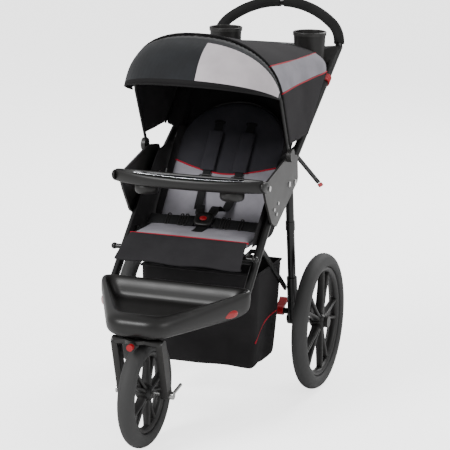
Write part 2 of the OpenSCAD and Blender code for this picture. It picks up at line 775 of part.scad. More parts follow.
// Point of the sun visor: v from 0 at the bow to 1 at its front edge.
function visor_point(v, t, inset) =
    let (a = 90 * (1 - abs(t)), side = t < 0 ? -1 : 1, half = canopy_half_w - inset,
         ahead = (bow_r + clear_gap) * [-bow_dir[1], bow_dir[0]],
         root = CANOPY_PIVOT + ahead + (SHOULDER_RISE + 16
              + (canopy_rise - inset - SHOULDER_RISE - 16) * pow(sin(a), BOW_SQUARENESS)) * bow_dir,
         edge = VISOR_CORNER + (VISOR_TIP - VISOR_CORNER - [-inset, inset]) * pow(sin(a), 0.9))
    at(side * half * pow(cos(a), BOW_SQUARENESS),
       mix(root, edge, v) + 22 * sin(180 * v) * sin(a) * [-0.6, 0.8]);

module sun_visor() {
    rows = [for (i = [0 : 4]) i / 4];
    cols = [for (i = [-8 : 8]) i / 8];
    color(cloth_black) sheet_between(
        [for (v = rows) [for (t = cols) visor_point(v, t, 0)]],
        [for (v = rows) [for (t = cols) visor_point(v, t, VISOR_T)]]);
}

// ---------- backrest and harness ----------

BACK_ANGLE = 51;
back_dir = [cos(BACK_ANGLE), sin(BACK_ANGLE)];
back_out = [-sin(BACK_ANGLE), cos(BACK_ANGLE)];

// Place on the backrest: along it from its hinge, and proud of the pad's face.
function on_back(x, along, proud) = at(x, RECLINE_PIVOT + along * back_dir + (14 + proud) * back_out);

module back_plank(x0, x1, from, to, proud, t) {
    side_plate(x0, x1) polygon([for (c = [[from, proud], [to, proud], [to, proud - t], [from, proud - t]])
        RECLINE_PIVOT + c[0] * back_dir + (14 + c[1]) * back_out]);
}

module seat_back() {
    color(cloth_black) intersection() {
        union() {
            back_plank(-seat_w / 2, seat_w / 2, 9, back_len, 0, pad_t);
            crossbar(-seat_w / 2, seat_w / 2, RECLINE_PIVOT, back_roll_r);
        }
        translate(at(0, RECLINE_PIVOT + (back_len - 150) * back_dir)) rotate([BACK_ANGLE - 90, 0, 0])
            rotate([90, 0, 0]) linear_extrude(200, center = true) union() {
                scale([1, 0.92]) circle(r = seat_w / 2 + 1, $fn = 64);
                translate([-seat_w / 2, -400]) square([seat_w, 400]);
            }
    }
}

module shoulder_straps() {
    color(steel_black) for (s = [-1, 1]) on_side(s) {
        back_plank(38, 62, 110, 330, 4.4, 4);
        back_plank(34, 66, 180, 300, 9.4, 7);
    }
}

// ---------- child tray ----------

TRAY_FLOOR = 652;
TRAY_TOP = 692;

module tray_plan(grow, low, high) {
    hull() {
        for (s = [-1, 1]) {
            translate([s * (tray_arm_in - 6), -172, low]) cylinder(h = high - low, r = 18 + grow, $fn = HULL_FN);
            translate([s * 60, -208, low]) cylinder(h = high - low, r = 18 + grow, $fn = HULL_FN);
            translate([s * 96, -120, low]) cylinder(h = high - low, r = 8 + grow, $fn = HULL_FN);
        }
    }
}

module child_tray() {
    color(plastic) difference() {
        union() {
            tray_plan(0, TRAY_FLOOR, TRAY_TOP);
            for (s = [-1, 1]) on_side(s) {
                translate([128, -160, 628]) cylinder(h = 30, r = child_cup_r + wall);
                side_plate(tray_arm_in, tray_arm_out) hull() {
                    translate(TRAY_PIVOT) circle(r = 13, $fn = HULL_FN);
                    translate([-178, 674]) circle(r = 16, $fn = HULL_FN);
                }
            }
        }
        tray_plan(-5, TRAY_FLOOR + 24, TRAY_TOP + 1);
        for (s = [-1, 1]) translate([s * 128, -160, 632]) cylinder(h = 80, r = child_cup_r);
        for (s = [-1, 1]) on_side(s) {
            crossbar(tray_arm_in - 1, tray_arm_out + 1, TRAY_PIVOT, pin_r + running_gap);
            translate([plate_in - 12, -158, 600]) cube([bracket_t + 12.2, 68, 120]);
        }
    }
}

// ---------- the whole stroller ----------

nose_shell();
reflector(-1);  // reflector_left
reflector(1);  // reflector_right
down_tube(-1);  // down_tube_left
down_tube(1);  // down_tube_right
side_bracket(-1);  // side_bracket_left
side_bracket(1);  // side_bracket_right
pivot_pins(-1);  // pivot_pins_left
pivot_pins(1);  // pivot_pins_right
calf_support_bar();
seat_cross_tube();
seat_pad();
calf_flap();
side_panel(-1);  // side_panel_left
side_panel(1);  // side_panel_right
crotch_strap();
basket();
recline_strap();
recline_strap_tab();
front_fork();
front_axle();
quick_release_lever();
swivel_lock_knob();
front_tyre();
front_rim();
front_valve();
rear_leg(-1);  // rear_leg_left
rear_leg(1);  // rear_leg_right
rear_axle_beam();
rear_stub_axles();
rear_tyre(-1);  // rear_tyre_left
rear_tyre(1);  // rear_tyre_right
rear_rim(-1);  // rear_rim_left
rear_rim(1);  // rear_rim_right
hub_cap(-1);  // hub_cap_left
hub_cap(1);  // hub_cap_right
brake_pedal(-1);  // brake_pedal_left
brake_pedal(1);  // brake_pedal_right
brace(-1);  // brace_left
brace(1);  // brace_right
handle_tube(-1);  // handle_tube_left
handle_tube(1);  // handle_tube_right
handle_loop();
foam_grip(-1);  // foam_grip_left
foam_grip(1);  // foam_grip_right
grip_joiner();
parent_console();
console_lid();
fold_trigger(-1);  // fold_trigger_left
fold_trigger(1);  // fold_trigger_right
canopy_hubs();
canopy_bow();
canopy_cover();
sun_visor();
seat_back();
shoulder_straps();
waist_belt();
harness_buckle();
buckle_button();
child_tray();
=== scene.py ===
"""Looks of a three-wheeled jogging stroller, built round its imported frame.

Every length is in metres. X runs across (+X is the child's left), Y from the front wheel to the
handle, and Z up from the ground.
"""

import json
import logging
import math
from collections.abc import Callable, Sequence
from dataclasses import dataclass, field
from enum import Enum

import bpy
from mathutils import Matrix, Vector

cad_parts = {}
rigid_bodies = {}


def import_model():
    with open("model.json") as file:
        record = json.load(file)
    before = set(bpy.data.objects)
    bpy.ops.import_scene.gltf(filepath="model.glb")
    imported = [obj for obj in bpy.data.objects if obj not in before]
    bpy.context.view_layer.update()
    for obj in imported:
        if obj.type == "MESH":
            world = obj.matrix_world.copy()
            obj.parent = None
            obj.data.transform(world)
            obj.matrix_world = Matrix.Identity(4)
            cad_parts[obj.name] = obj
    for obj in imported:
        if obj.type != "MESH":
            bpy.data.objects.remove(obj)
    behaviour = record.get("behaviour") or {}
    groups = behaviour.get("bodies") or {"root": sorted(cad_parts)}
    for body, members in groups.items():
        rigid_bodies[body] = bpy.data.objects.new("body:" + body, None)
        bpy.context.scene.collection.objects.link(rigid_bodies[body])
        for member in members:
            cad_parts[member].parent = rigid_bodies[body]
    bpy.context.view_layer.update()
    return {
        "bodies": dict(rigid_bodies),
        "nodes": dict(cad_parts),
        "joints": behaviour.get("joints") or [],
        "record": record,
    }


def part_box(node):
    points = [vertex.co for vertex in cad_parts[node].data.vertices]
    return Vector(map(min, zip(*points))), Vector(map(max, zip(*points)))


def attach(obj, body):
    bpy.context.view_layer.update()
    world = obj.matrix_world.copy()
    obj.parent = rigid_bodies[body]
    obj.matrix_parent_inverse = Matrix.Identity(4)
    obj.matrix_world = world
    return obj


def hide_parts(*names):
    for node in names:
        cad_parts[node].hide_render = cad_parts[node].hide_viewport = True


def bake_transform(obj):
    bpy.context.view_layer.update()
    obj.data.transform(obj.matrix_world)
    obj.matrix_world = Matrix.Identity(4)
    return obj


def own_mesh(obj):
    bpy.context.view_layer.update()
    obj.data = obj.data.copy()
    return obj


log = logging.getLogger("stroller")

Point = Vector
Row = list[Vector]
Corner = tuple[float, float, float]
MM = 0.001


# ---------------------------------------------------------------- finishes


def linear(hex_colour: str) -> tuple[float, float, float, float]:
    """Turns an sRGB hex colour into linear red, green, blue and alpha.

    Args:
        hex_colour: Six hex digits with a leading hash.

    Returns:
        The four linear values.
    """
    values = [int(hex_colour[i : i + 2], 16) / 255 for i in (1, 3, 5)]
    r, g, b = [c / 12.92 if c <= 0.04045 else ((c + 0.055) / 1.055) ** 2.4 for c in values]
    return (r, g, b, 1.0)


def add(tree: bpy.types.NodeTree, kind: str, settings: dict, links: dict) -> bpy.types.Node:
    """Adds a shader node.

    Args:
        tree: The node tree.
        kind: The node's type name.
        settings: Values of sockets, by name or number, or of the node's properties.
        links: Sockets that feed the node's inputs, by name or number.

    Returns:
        The node.
    """
    node = tree.nodes.new(kind)
    for name, value in settings.items():
        if isinstance(name, int) or name in node.inputs:
            node.inputs[name].default_value = value
        else:
            setattr(node, name, value)
    for name, socket in links.items():
        tree.links.new(socket, node.inputs[name])
    return node


class Surface(Enum):
    """How a surface was made, which sets its pattern."""

    MOULDED = "moulded"
    COATED = "powder coated"
    WOVEN = "woven"
    RIBBED = "ribbed webbing"
    FOAM = "foam"
    RUBBER = "rubber"
    METAL = "metal"


@dataclass(frozen=True)
class Finish:
    """A finish: a material and the way its surface was made.

    Args:
        name: The finish's name.
        surface: How the surface was made.
        colour: Main colour as sRGB hex.
        second: Colour that the pattern mixes in.
        roughness: Roughness of the surface.
        grain_mm: Spacing of the threads or of the grain, in millimetres.
        relief_mm: Height of the pattern, in millimetres.
        metallic: 1 for a bare metal.
        coat: Weight of a clear gloss coat.
        sheen: Weight of the fibres' soft sheen.
        ior: Index of refraction.
    """

    name: str
    surface: Surface
    colour: str
    second: str
    roughness: float
    grain_mm: float
    relief_mm: float
    metallic: float = 0.0
    coat: float = 0.0
    sheen: float = 0.0
    ior: float = 1.5

    def weave_height(self, tree: bpy.types.NodeTree, place: bpy.types.NodeSocket) -> bpy.types.NodeSocket:
        """Builds the over and under of a plain weave, which works on any slope without a map.

        Args:
            tree: The node tree.
            place: Position on the object.

        Returns:
            The height, from 0 to 1.
        """
        axes = add(tree, "ShaderNodeSeparateXYZ", {}, {0: place})
        lean = add(tree, "ShaderNodeMath", {"operation": "MULTIPLY", 1: 0.6}, {0: axes.outputs["Y"]})
        # a wave repeats every 0.314 units of scale 1
        scale = 0.314 / (self.grain_mm * MM)
        heights = []
        for axis in ("X", "Z"):
            along = add(
                tree, "ShaderNodeMath", {"operation": "ADD"}, {0: axes.outputs[axis], 1: lean.outputs[0]}
            )
            spot = add(tree, "ShaderNodeCombineXYZ", {}, {"X": along.outputs[0]})
            wave = add(
                tree,
                "ShaderNodeTexWave",
                {"Scale": scale, "Distortion": 0.0, "bands_direction": "X"},
                {"Vector": spot.outputs[0]},
            )
            heights.append(wave.outputs["Fac"])
        warp, weft = heights
        ribbed = self.surface is Surface.RIBBED
        both = add(
            tree,
            "ShaderNodeMath",
            {"operation": "MAXIMUM" if ribbed else "ADD"},
            {0: weft if ribbed else warp, 1: weft},
        )
        share = 1.0 if ribbed else 0.5
        part = add(tree, "ShaderNodeMath", {"operation": "MULTIPLY", 1: share}, {0: both.outputs[0]})
        return part.outputs[0]

    def material(self) -> bpy.types.Material:
        """Builds the finish's shader once, and returns it after that.

        Returns:
            The material.
        """
        found = bpy.data.materials.get(self.name)
        if found:
            return found
        made = bpy.data.materials.new(self.name)
        made.use_nodes = True
        tree = made.node_tree
        tree.nodes.clear()
        place = add(tree, "ShaderNodeTexCoord", {}, {}).outputs["Object"]
        fine = add(
            tree,
            "ShaderNodeTexNoise",
            {"Scale": 1 / (self.grain_mm * MM * 2), "Detail": 4.0, "Roughness": 0.6},
            {"Vector": place},
        ).outputs["Fac"]
        broad = add(
            tree, "ShaderNodeTexNoise", {"Scale": 14.0, "Detail": 3.0, "Roughness": 0.55}, {"Vector": place}
        ).outputs["Fac"]
        height = fine
        if self.surface in (Surface.WOVEN, Surface.RIBBED):
            height = self.weave_height(tree, place)
        blend = add(tree, "ShaderNodeMath", {"operation": "MULTIPLY_ADD", 1: 0.6}, {0: height, 2: broad})
        spread = add(
            tree,
            "ShaderNodeMapRange",
            {"From Min": 0.35, "From Max": 1.1, "To Min": 0.0, "To Max": 1.0},
            {"Value": blend.outputs[0]},
        )
        colour = add(
            tree,
            "ShaderNodeMix",
            {"data_type": "RGBA", 6: linear(self.colour), 7: linear(self.second)},
            {0: spread.outputs["Result"]},
        ).outputs[2]
        if self.surface is Surface.MOULDED:
            # paler along the sharp convex edges: a painted highlight where the edges catch the light
            edge_highlight = add(tree, "ShaderNodeNewGeometry", {}, {}).outputs["Pointiness"]
            edge = add(
                tree,
                "ShaderNodeMapRange",
                {"From Min": 0.52, "From Max": 0.6, "To Min": 0.0, "To Max": 0.35},
                {"Value": edge_highlight},
            )
            colour = add(
                tree,
                "ShaderNodeMix",
                {"data_type": "RGBA", 7: linear("#3c3b3a")},
                {0: edge.outputs["Result"], 6: colour},
            ).outputs[2]
        rough = add(
            tree,
            "ShaderNodeMapRange",
            {"To Min": max(0.03, self.roughness - 0.08), "To Max": min(1.0, self.roughness + 0.08)},
            {"Value": broad},
        ).outputs["Result"]
        bump = add(
            tree,
            "ShaderNodeBump",
            {"Strength": 0.8, "Distance": self.relief_mm * MM},
            {"Height": height},
        )
        shader = add(
            tree,
            "ShaderNodeBsdfPrincipled",
            {
                "Metallic": self.metallic,
                "IOR": self.ior,
                "Coat Weight": self.coat,
                "Coat Roughness": 0.12,
                "Specular IOR Level": 0.4,
                "Sheen Weight": self.sheen,
                "Sheen Roughness": 0.5,
            },
            {"Base Color": colour, "Roughness": rough, "Normal": bump.outputs[0]},
        )
        add(tree, "ShaderNodeOutputMaterial", {}, {"Surface": shader.outputs[0]})
        return made


# polypropylene, moulded with a fine spark texture: near black with a soft broad highlight
MOULDED_BLACK = Finish("moulded_polypropylene", Surface.MOULDED, "#0f0e0e", "#181716", 0.4, 1.2, 0.05)
# the same plastic from another tool: the wheels look a little paler and drier
WHEEL_BLACK = Finish("wheel_polypropylene", Surface.MOULDED, "#131313", "#1c1b1b", 0.45, 1.5, 0.05)
# powder coated steel tube: near black with a long sharp highlight
TUBE_BLACK = Finish("powder_coated_steel", Surface.COATED, "#0c0c0c", "#131313", 0.3, 0.8, 0.02)
# solution dyed polyester, plain weave; the threads are drawn coarse enough to show
CANOPY_CLOTH = Finish("canopy_polyester", Surface.WOVEN, "#1c1b1d", "#302e30", 0.9, 3.2, 0.35, ior=1.3)
DARK_CLOTH = Finish("black_polyester", Surface.WOVEN, "#191819", "#292829", 0.92, 3.0, 0.3, ior=1.3)
SEAT_BLACK = Finish("padded_black_polyester", Surface.WOVEN, "#232327", "#343338", 0.9, 3.0, 0.35, ior=1.3)
FLAP_CLOTH = Finish("charcoal_polyester", Surface.WOVEN, "#1e1d1f", "#2f2e30", 0.9, 3.0, 0.35, ior=1.3)
# heather polyester: pale and dark yarns twisted together
GREY_CLOTH = Finish("heather_polyester", Surface.WOVEN, "#6c6a70", "#95939a", 0.9, 3.4, 0.4, ior=1.3)
# polyester lining: a pale, dry, closely woven patch
LINING = Finish("pale_lining", Surface.WOVEN, "#a8a1a5", "#cbc4c8", 0.92, 3.4, 0.3, ior=1.3)
# warp knitted mesh: dark, with a loose open rib
MESH_CLOTH = Finish("knitted_mesh", Surface.WOVEN, "#101113", "#232528", 0.75, 3.6, 0.6, sheen=0.1, ior=1.3)
# braided polyester piping: a matt, deep red line, and the same in black
PIPING_RED = Finish("piping_red", Surface.WOVEN, "#8f0a20", "#ad1a30", 0.7, 3.0, 0.2, ior=1.35)
PIPING_DARK = Finish("piping_black", Surface.WOVEN, "#111112", "#1b1a1b", 0.8, 3.0, 0.2, ior=1.3)
# nylon webbing: near black, with ribs across it
WEBBING = Finish("nylon_webbing", Surface.RIBBED, "#0c0c0d", "#19191a", 0.7, 3.2, 0.4, ior=1.35)
# closed cell foam: matt, pitted
FOAM = Finish("closed_cell_foam", Surface.FOAM, "#181818", "#272727", 0.95, 1.6, 0.5, ior=1.3)
# natural and butyl rubber, moulded: a matt, warm black
RUBBER = Finish("tyre_rubber", Surface.RUBBER, "#171615", "#252322", 0.82, 1.8, 0.25, ior=1.4)
# zinc plated steel: bright grey metal, a little blurred
ZINC = Finish("zinc_plated_steel", Surface.METAL, "#a9a9a8", "#c7c7c6", 0.28, 0.8, 0.02, metallic=1.0)
# pale, mirror-like strip along the tray's top: a painted reflection of the bright sky on the glossy tray
PAINTED_REFLECTION = Finish("painted_sky_reflection", Surface.METAL, "#b9bac0", "#dadbe0", 0.16, 1.0, 0.02, metallic=1.0)
# acetal, moulded: a satin, dense red
RED_PLASTIC = Finish("red_acetal", Surface.COATED, "#8e0a14", "#a5141e", 0.4, 1.0, 0.03)
# acrylic lens with a prism back: glossy, uneven red
LENS_RED = Finish("red_lens", Surface.COATED, "#7c080d", "#a51016", 0.15, 2.4, 0.4, coat=0.5)
# polypropylene, moulded in grey: paler and a little glossier than the bin
LID_GREY = Finish("grey_polypropylene", Surface.MOULDED, "#48484a", "#5c5c5e", 0.3, 1.2, 0.04)


# ---------------------------------------------------------------- mesh helpers


def make_object(
    name: str,
    points: Sequence[Vector],
    faces: Sequence[Sequence[int]],
    finishes: Sequence[Finish],
    zones: Sequence[int] | None = None,
) -> bpy.types.Object:
    """Makes a smooth shaded mesh object.

    Args:
        name: Object name.
        points: Corners.
        faces: Corner numbers of each face.
        finishes: The finishes, one per material slot.
        zones: The slot of each face.

    Returns:
        The object.
    """
    mesh = bpy.data.meshes.new(name)
    mesh.from_pydata([tuple(p) for p in points], [], [tuple(f) for f in faces])
    for finish in finishes:
        mesh.materials.append(finish.material())
    if zones:
        mesh.polygons.foreach_set("material_index", list(zones))
    mesh.polygons.foreach_set("use_smooth", [True] * len(mesh.polygons))
    mesh.update()
    thing = bpy.data.objects.new(name, mesh)
    bpy.context.scene.collection.objects.link(thing)
    return thing


def modified(thing: bpy.types.Object, *steps: tuple[str, dict]) -> bpy.types.Object:
    """Applies modifiers to an object for good.

    Args:
        thing: The object.
        steps: Modifier type and its settings, in order.

    Returns:
        The same object with its new mesh.
    """
    for kind, settings in steps:
        step = thing.modifiers.new(kind.lower(), kind)
        for name, value in settings.items():
            setattr(step, name, value)
    graph = bpy.context.evaluated_depsgraph_get()
    thing.data = bpy.data.meshes.new_from_object(thing.evaluated_get(graph))
    thing.modifiers.clear()
    thing.data.polygons.foreach_set("use_smooth", [True] * len(thing.data.polygons))
    return thing


def sheet_of(
    name: str,
    rows: list[Row],
    finishes: Sequence[Finish],
    thickness: float,
    zone: Callable[[int, int], int] | None = None,
    wrap: bool = False,
    smooth: int = 1,
) -> bpy.types.Object:
    """Makes a cloth sheet or skin from rows of points.

    Args:
        name: Object name.
        rows: Rows of points with the same length.
        finishes: Finishes of the zones.
        thickness: Thickness, laid on the side away from the normals.
        zone: Gives the slot of the face after row i and column j.
        wrap: Whether the last column joins the first.
        smooth: Subdivision levels.

    Returns:
        The object.
    """
    width = len(rows[0])
    faces, zones = [], []
    for i in range(len(rows) - 1):
        for j in range(width if wrap else width - 1):
            k = (j + 1) % width
            faces.append((i * width + j, i * width + k, (i + 1) * width + k, (i + 1) * width + j))
            zones.append(zone(i, j) if zone else 0)
    thing = make_object(name, [p for row in rows for p in row], faces, finishes, zones)
    steps = []
    if thickness:
        steps.append(("SOLIDIFY", {"thickness": thickness, "offset": -1.0}))
    if smooth:
        steps.append(("SUBSURF", {"levels": smooth, "render_levels": smooth}))
    return modified(thing, *steps) if steps else thing


def loft(name: str, loops: list[Row], finish: Finish, smooth: int = 1) -> bpy.types.Object:
    """Joins closed loops of points into a capped solid.

    Args:
        name: Object name.
        loops: Loops with the same number of points.
        finish: Finish.
        smooth: Subdivision levels.

    Returns:
        The object.
    """
    width = len(loops[0])
    faces = [
        (i * width + j, i * width + (j + 1) % width, (i + 1) * width + (j + 1) % width, (i + 1) * width + j)
        for i in range(len(loops) - 1)
        for j in range(width)
    ]
    faces.append(tuple(reversed(range(width))))
    faces.append(tuple((len(loops) - 1) * width + j for j in range(width)))
    thing = make_object(name, [p for row in loops for p in row], faces, [finish], [0] * len(faces))
    return modified(thing, ("SUBSURF", {"levels": smooth, "render_levels": smooth})) if smooth else thing


def frames_along(path: Row, closed: bool = False) -> list[tuple[Vector, Vector]]:
    """Finds two directions across a path at each of its points, without twist.

    Args:
        path: The path.
        closed: Whether it runs in a ring.

    Returns:
        The two directions at each point.
    """
    count = len(path)
    found = []
    side = None
    for i in range(count):
        ahead = path[(i + 1) % count] if closed else path[min(i + 1, count - 1)]
        behind = path[i - 1] if closed else path[max(i - 1, 0)]
        along = (ahead - behind).normalized()
        if side is None:
            side = along.cross(Vector((0, 0, 1)) if abs(along.z) < 0.9 else Vector((1, 0, 0))).normalized()
        side = (side - along * side.dot(along)).normalized()
        found.append((side, along.cross(side)))
    return found


def cord_of(
    name: str, path: Row, radius: float, finish: Finish, sides: int = 8, closed: bool = False
) -> bpy.types.Object:
    """Makes a round tube along a path.

    Args:
        name: Object name.
        path: The path.
        radius: Radius.
        finish: Finish.
        sides: Sides of the section.
        closed: Whether the tube runs in a ring.

    Returns:
        The object.
    """
    angles = [math.tau * k / sides for k in range(sides)]
    loops = [
        [p + radius * (math.cos(a) * u + math.sin(a) * w) for a in angles]
        for p, (u, w) in zip(path, frames_along(path, closed))
    ]
    if not closed:
        return loft(name, loops, finish, smooth=0)
    return sheet_of(name, loops + [loops[0]], [finish], 0.0, wrap=True, smooth=0)


# half of a strap's section, in widths and thicknesses: its edges are round and its middle is crowned
STRAP_HALF = ((-0.5, 0.2), (-0.46, 0.5), (0, 0.56), (0.46, 0.5), (0.5, 0.2))
STRAP_SECTION = STRAP_HALF + tuple((-a, -b) for a, b in STRAP_HALF)


def strap_of(
    name: str, path: Row, across: Vector, width: float, thick: float, finish: Finish
) -> bpy.types.Object:
    """Makes a flat strap with rounded edges along a path.

    Args:
        name: Object name.
        path: The strap's middle line.
        across: Direction of its width.
        width: Width.
        thick: Thickness.
        finish: Finish.

    Returns:
        The object.
    """
    loops = []
    for i, p in enumerate(path):
        along = (path[min(i + 1, len(path) - 1)] - path[max(i - 1, 0)]).normalized()
        wide = (across - along * across.dot(along)).normalized()
        up = wide.cross(along)
        loops.append([p + wide * (a * width) + up * (b * thick) for a, b in STRAP_SECTION])
    return loft(name, loops, finish, smooth=1)


def curve_through(points: Sequence[Vector], steps: int) -> Row:
    """Runs a smooth path through points.

    Args:
        points: The points.
        steps: Points of the path between each two.

    Returns:
        The path.
    """
    path = []
    last = len(points) - 1
    for i in range(last):
        a, b = points[max(i - 1, 0)], points[i]
        c, d = points[i + 1], points[min(i + 2, last)]
        for k in range(steps):
            t = k / steps
            square, cube = 2 * a - 5 * b + 4 * c - d, 3 * b - a - 3 * c + d
            path.append(0.5 * (2 * b + (c - a) * t + square * t**2 + cube * t**3))
    path.append(points[last].copy())
    return path


def mirrored(points: Row) -> Row:
    """Mirrors points from one side of the stroller to the other."""
    return [Vector((-p.x, p.y, p.z)) for p in points]


def superellipse(a: float, power: float) -> tuple[float, float]:
    """Gives the place on a unit superellipse at an angle in radians."""
    c, s = math.cos(a), math.sin(a)
    return math.copysign(abs(c) ** (2 / power), c), math.copysign(abs(s) ** (2 / power), s)


def dress(frame: dict, finish: Finish, *nodes: str) -> None:
    """Gives carried over nodes a finish.

    Args:
        frame: The loaded frame.
        finish: The finish.
        nodes: Node names.
    """
    for node in nodes:
        thing = frame["nodes"][node]
        thing.data.materials.clear()
        thing.data.materials.append(finish.material())


def place(thing: bpy.types.Object, body: str, slot: str, *stands_for: str) -> bpy.types.Object:
    """Puts a piece on its body and hides the nodes that it stands for.

    Args:
        thing: The piece.
        body: Its body.
        slot: Not used.
        stands_for: Nodes that it replaces.

    Returns:
        The piece.
    """
    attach(thing, body)
    if stands_for:
        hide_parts(*stands_for)
    log.info("piece %s rides on %s", thing.name, body)
    return thing


def puff(thing: bpy.types.Object, voxel: float, limit: float) -> bpy.types.Object:
    """Inflates a closed pad a little as its stuffing does, by cloth simulation.

    Args:
        thing: The pad.
        voxel: Mesh size.
        limit: How far a point may move.

    Returns:
        The pad with its new shape.
    """
    modified(thing, ("REMESH", {"mode": "VOXEL", "voxel_size": voxel}))
    rest = [v.co.copy() for v in thing.data.vertices]
    cloth = thing.modifiers.new("cloth", "CLOTH")
    cloth.settings.use_pressure = True
    cloth.settings.uniform_pressure_force = 4.0
    cloth.settings.effector_weights.gravity = 0.0
    scene = bpy.context.scene
    for frame_number in range(1, 17):
        scene.frame_set(frame_number)
    graph = bpy.context.evaluated_depsgraph_get()
    swollen = thing.evaluated_get(graph).to_mesh()
    moved = [v.co.copy() for v in swollen.vertices]
    thing.evaluated_get(graph).to_mesh_clear()
    thing.modifiers.clear()
    scene.frame_set(1)
    for vertex, was, now in zip(thing.data.vertices, rest, moved):
        step = now - was
        vertex.co = was + step * min(1.0, limit / max(step.length, 1e-9))
    thing.data.update()
    return modified(thing, ("SMOOTH", {"factor": 0.5, "iterations": 2}))


# ---------------------------------------------------------------- studio


@dataclass
class Studio:
    """Pale floor, soft light and the camera."""

    eye: tuple[float, float, float] = (1.8619, -4.8489, 1.7601)
    target: tuple[float, float, float] = (0.04587, 0.0, 0.51327)
    roll_deg: float = 0.5
    lens_mm: float = 147.84
    # strength of the floor's glow, which only the camera sees, and of the white sky
    glow: float = 2.2
    sky: float = 0.6

    def camera(self) -> None:
        """Sets the camera up."""
        data = bpy.data.cameras.new("camera")
        data.lens = self.lens_mm
        data.sensor_width = 36.0
        data.clip_end = 60.0
        eye = bpy.data.objects.new("camera", data)
        back = (Vector(self.eye) - Vector(self.target)).normalized()
        right = Vector((0, 0, 1)).cross(back).normalized()
        right = Matrix.Rotation(math.radians(self.roll_deg), 3, back) @ right
        up = back.cross(right)
        turn = Matrix((right, up, back)).transposed().to_4x4()
        eye.matrix_world = Matrix.Translation(Vector(self.eye)) @ turn
        bpy.context.scene.collection.objects.link(eye)
        bpy.context.scene.camera = eye

    def light(self, name: str, where: Sequence[float], size: float, power: float) -> None:
        """Adds a soft box that faces the stroller.

        Args:
            name: Light name.
            where: Place.
            size: Side of the soft box.
            power: Watts.
        """
        data = bpy.data.lights.new(name, "AREA")
        data.size = size
        data.energy = power
        lamp = bpy.data.objects.new(name, data)
        lamp.location = where
        aim = Vector((0, 0, 0.6)) - Vector(where)
        lamp.rotation_euler = aim.to_track_quat("-Z", "Y").to_euler()
        bpy.context.scene.collection.objects.link(lamp)

    def build(self) -> None:
        """Builds floor, world, lights and camera."""
        self.camera()
        floor = make_object(
            "floor",
            [Vector((x, y, 0)) for x, y in ((-60, -60), (60, -60), (60, 90), (-60, 90))],
            [(0, 1, 2, 3)],
            [],
        )
        paper = bpy.data.materials.new("floor_paper")
        paper.use_nodes = True
        shader = paper.node_tree.nodes["Principled BSDF"]
        shader.inputs["Base Color"].default_value = linear("#fbfbfb")
        shader.inputs["Roughness"].default_value = 0.9
        shader.inputs["Specular IOR Level"].default_value = 0.0
        shader.inputs["Emission Color"].default_value = linear("#ffffff")
        seen = add(paper.node_tree, "ShaderNodeLightPath", {}, {}).outputs["Is Camera Ray"]
        glow = add(paper.node_tree, "ShaderNodeMath", {"operation": "MULTIPLY", 1: self.glow}, {0: seen})
        paper.node_tree.links.new(glow.outputs[0], shader.inputs["Emission Strength"])
        floor.data.materials.append(paper)
        world = bpy.data.worlds.new("studio")
        world.use_nodes = True
        world.node_tree.nodes["Background"].inputs["Color"].default_value = (1, 1, 1, 1)
        world.node_tree.nodes["Background"].inputs["Strength"].default_value = self.sky
        bpy.context.scene.world = world
        self.light("key", (-2.2, -3.6, 3.6), 1.8, 230)
        self.light("fill", (3.8, -1.2, 2.4), 1.6, 50)
        self.light("rim", (1.0, 3.6, 3.2), 1.8, 140)


# ---------------------------------------------------------------- wheels


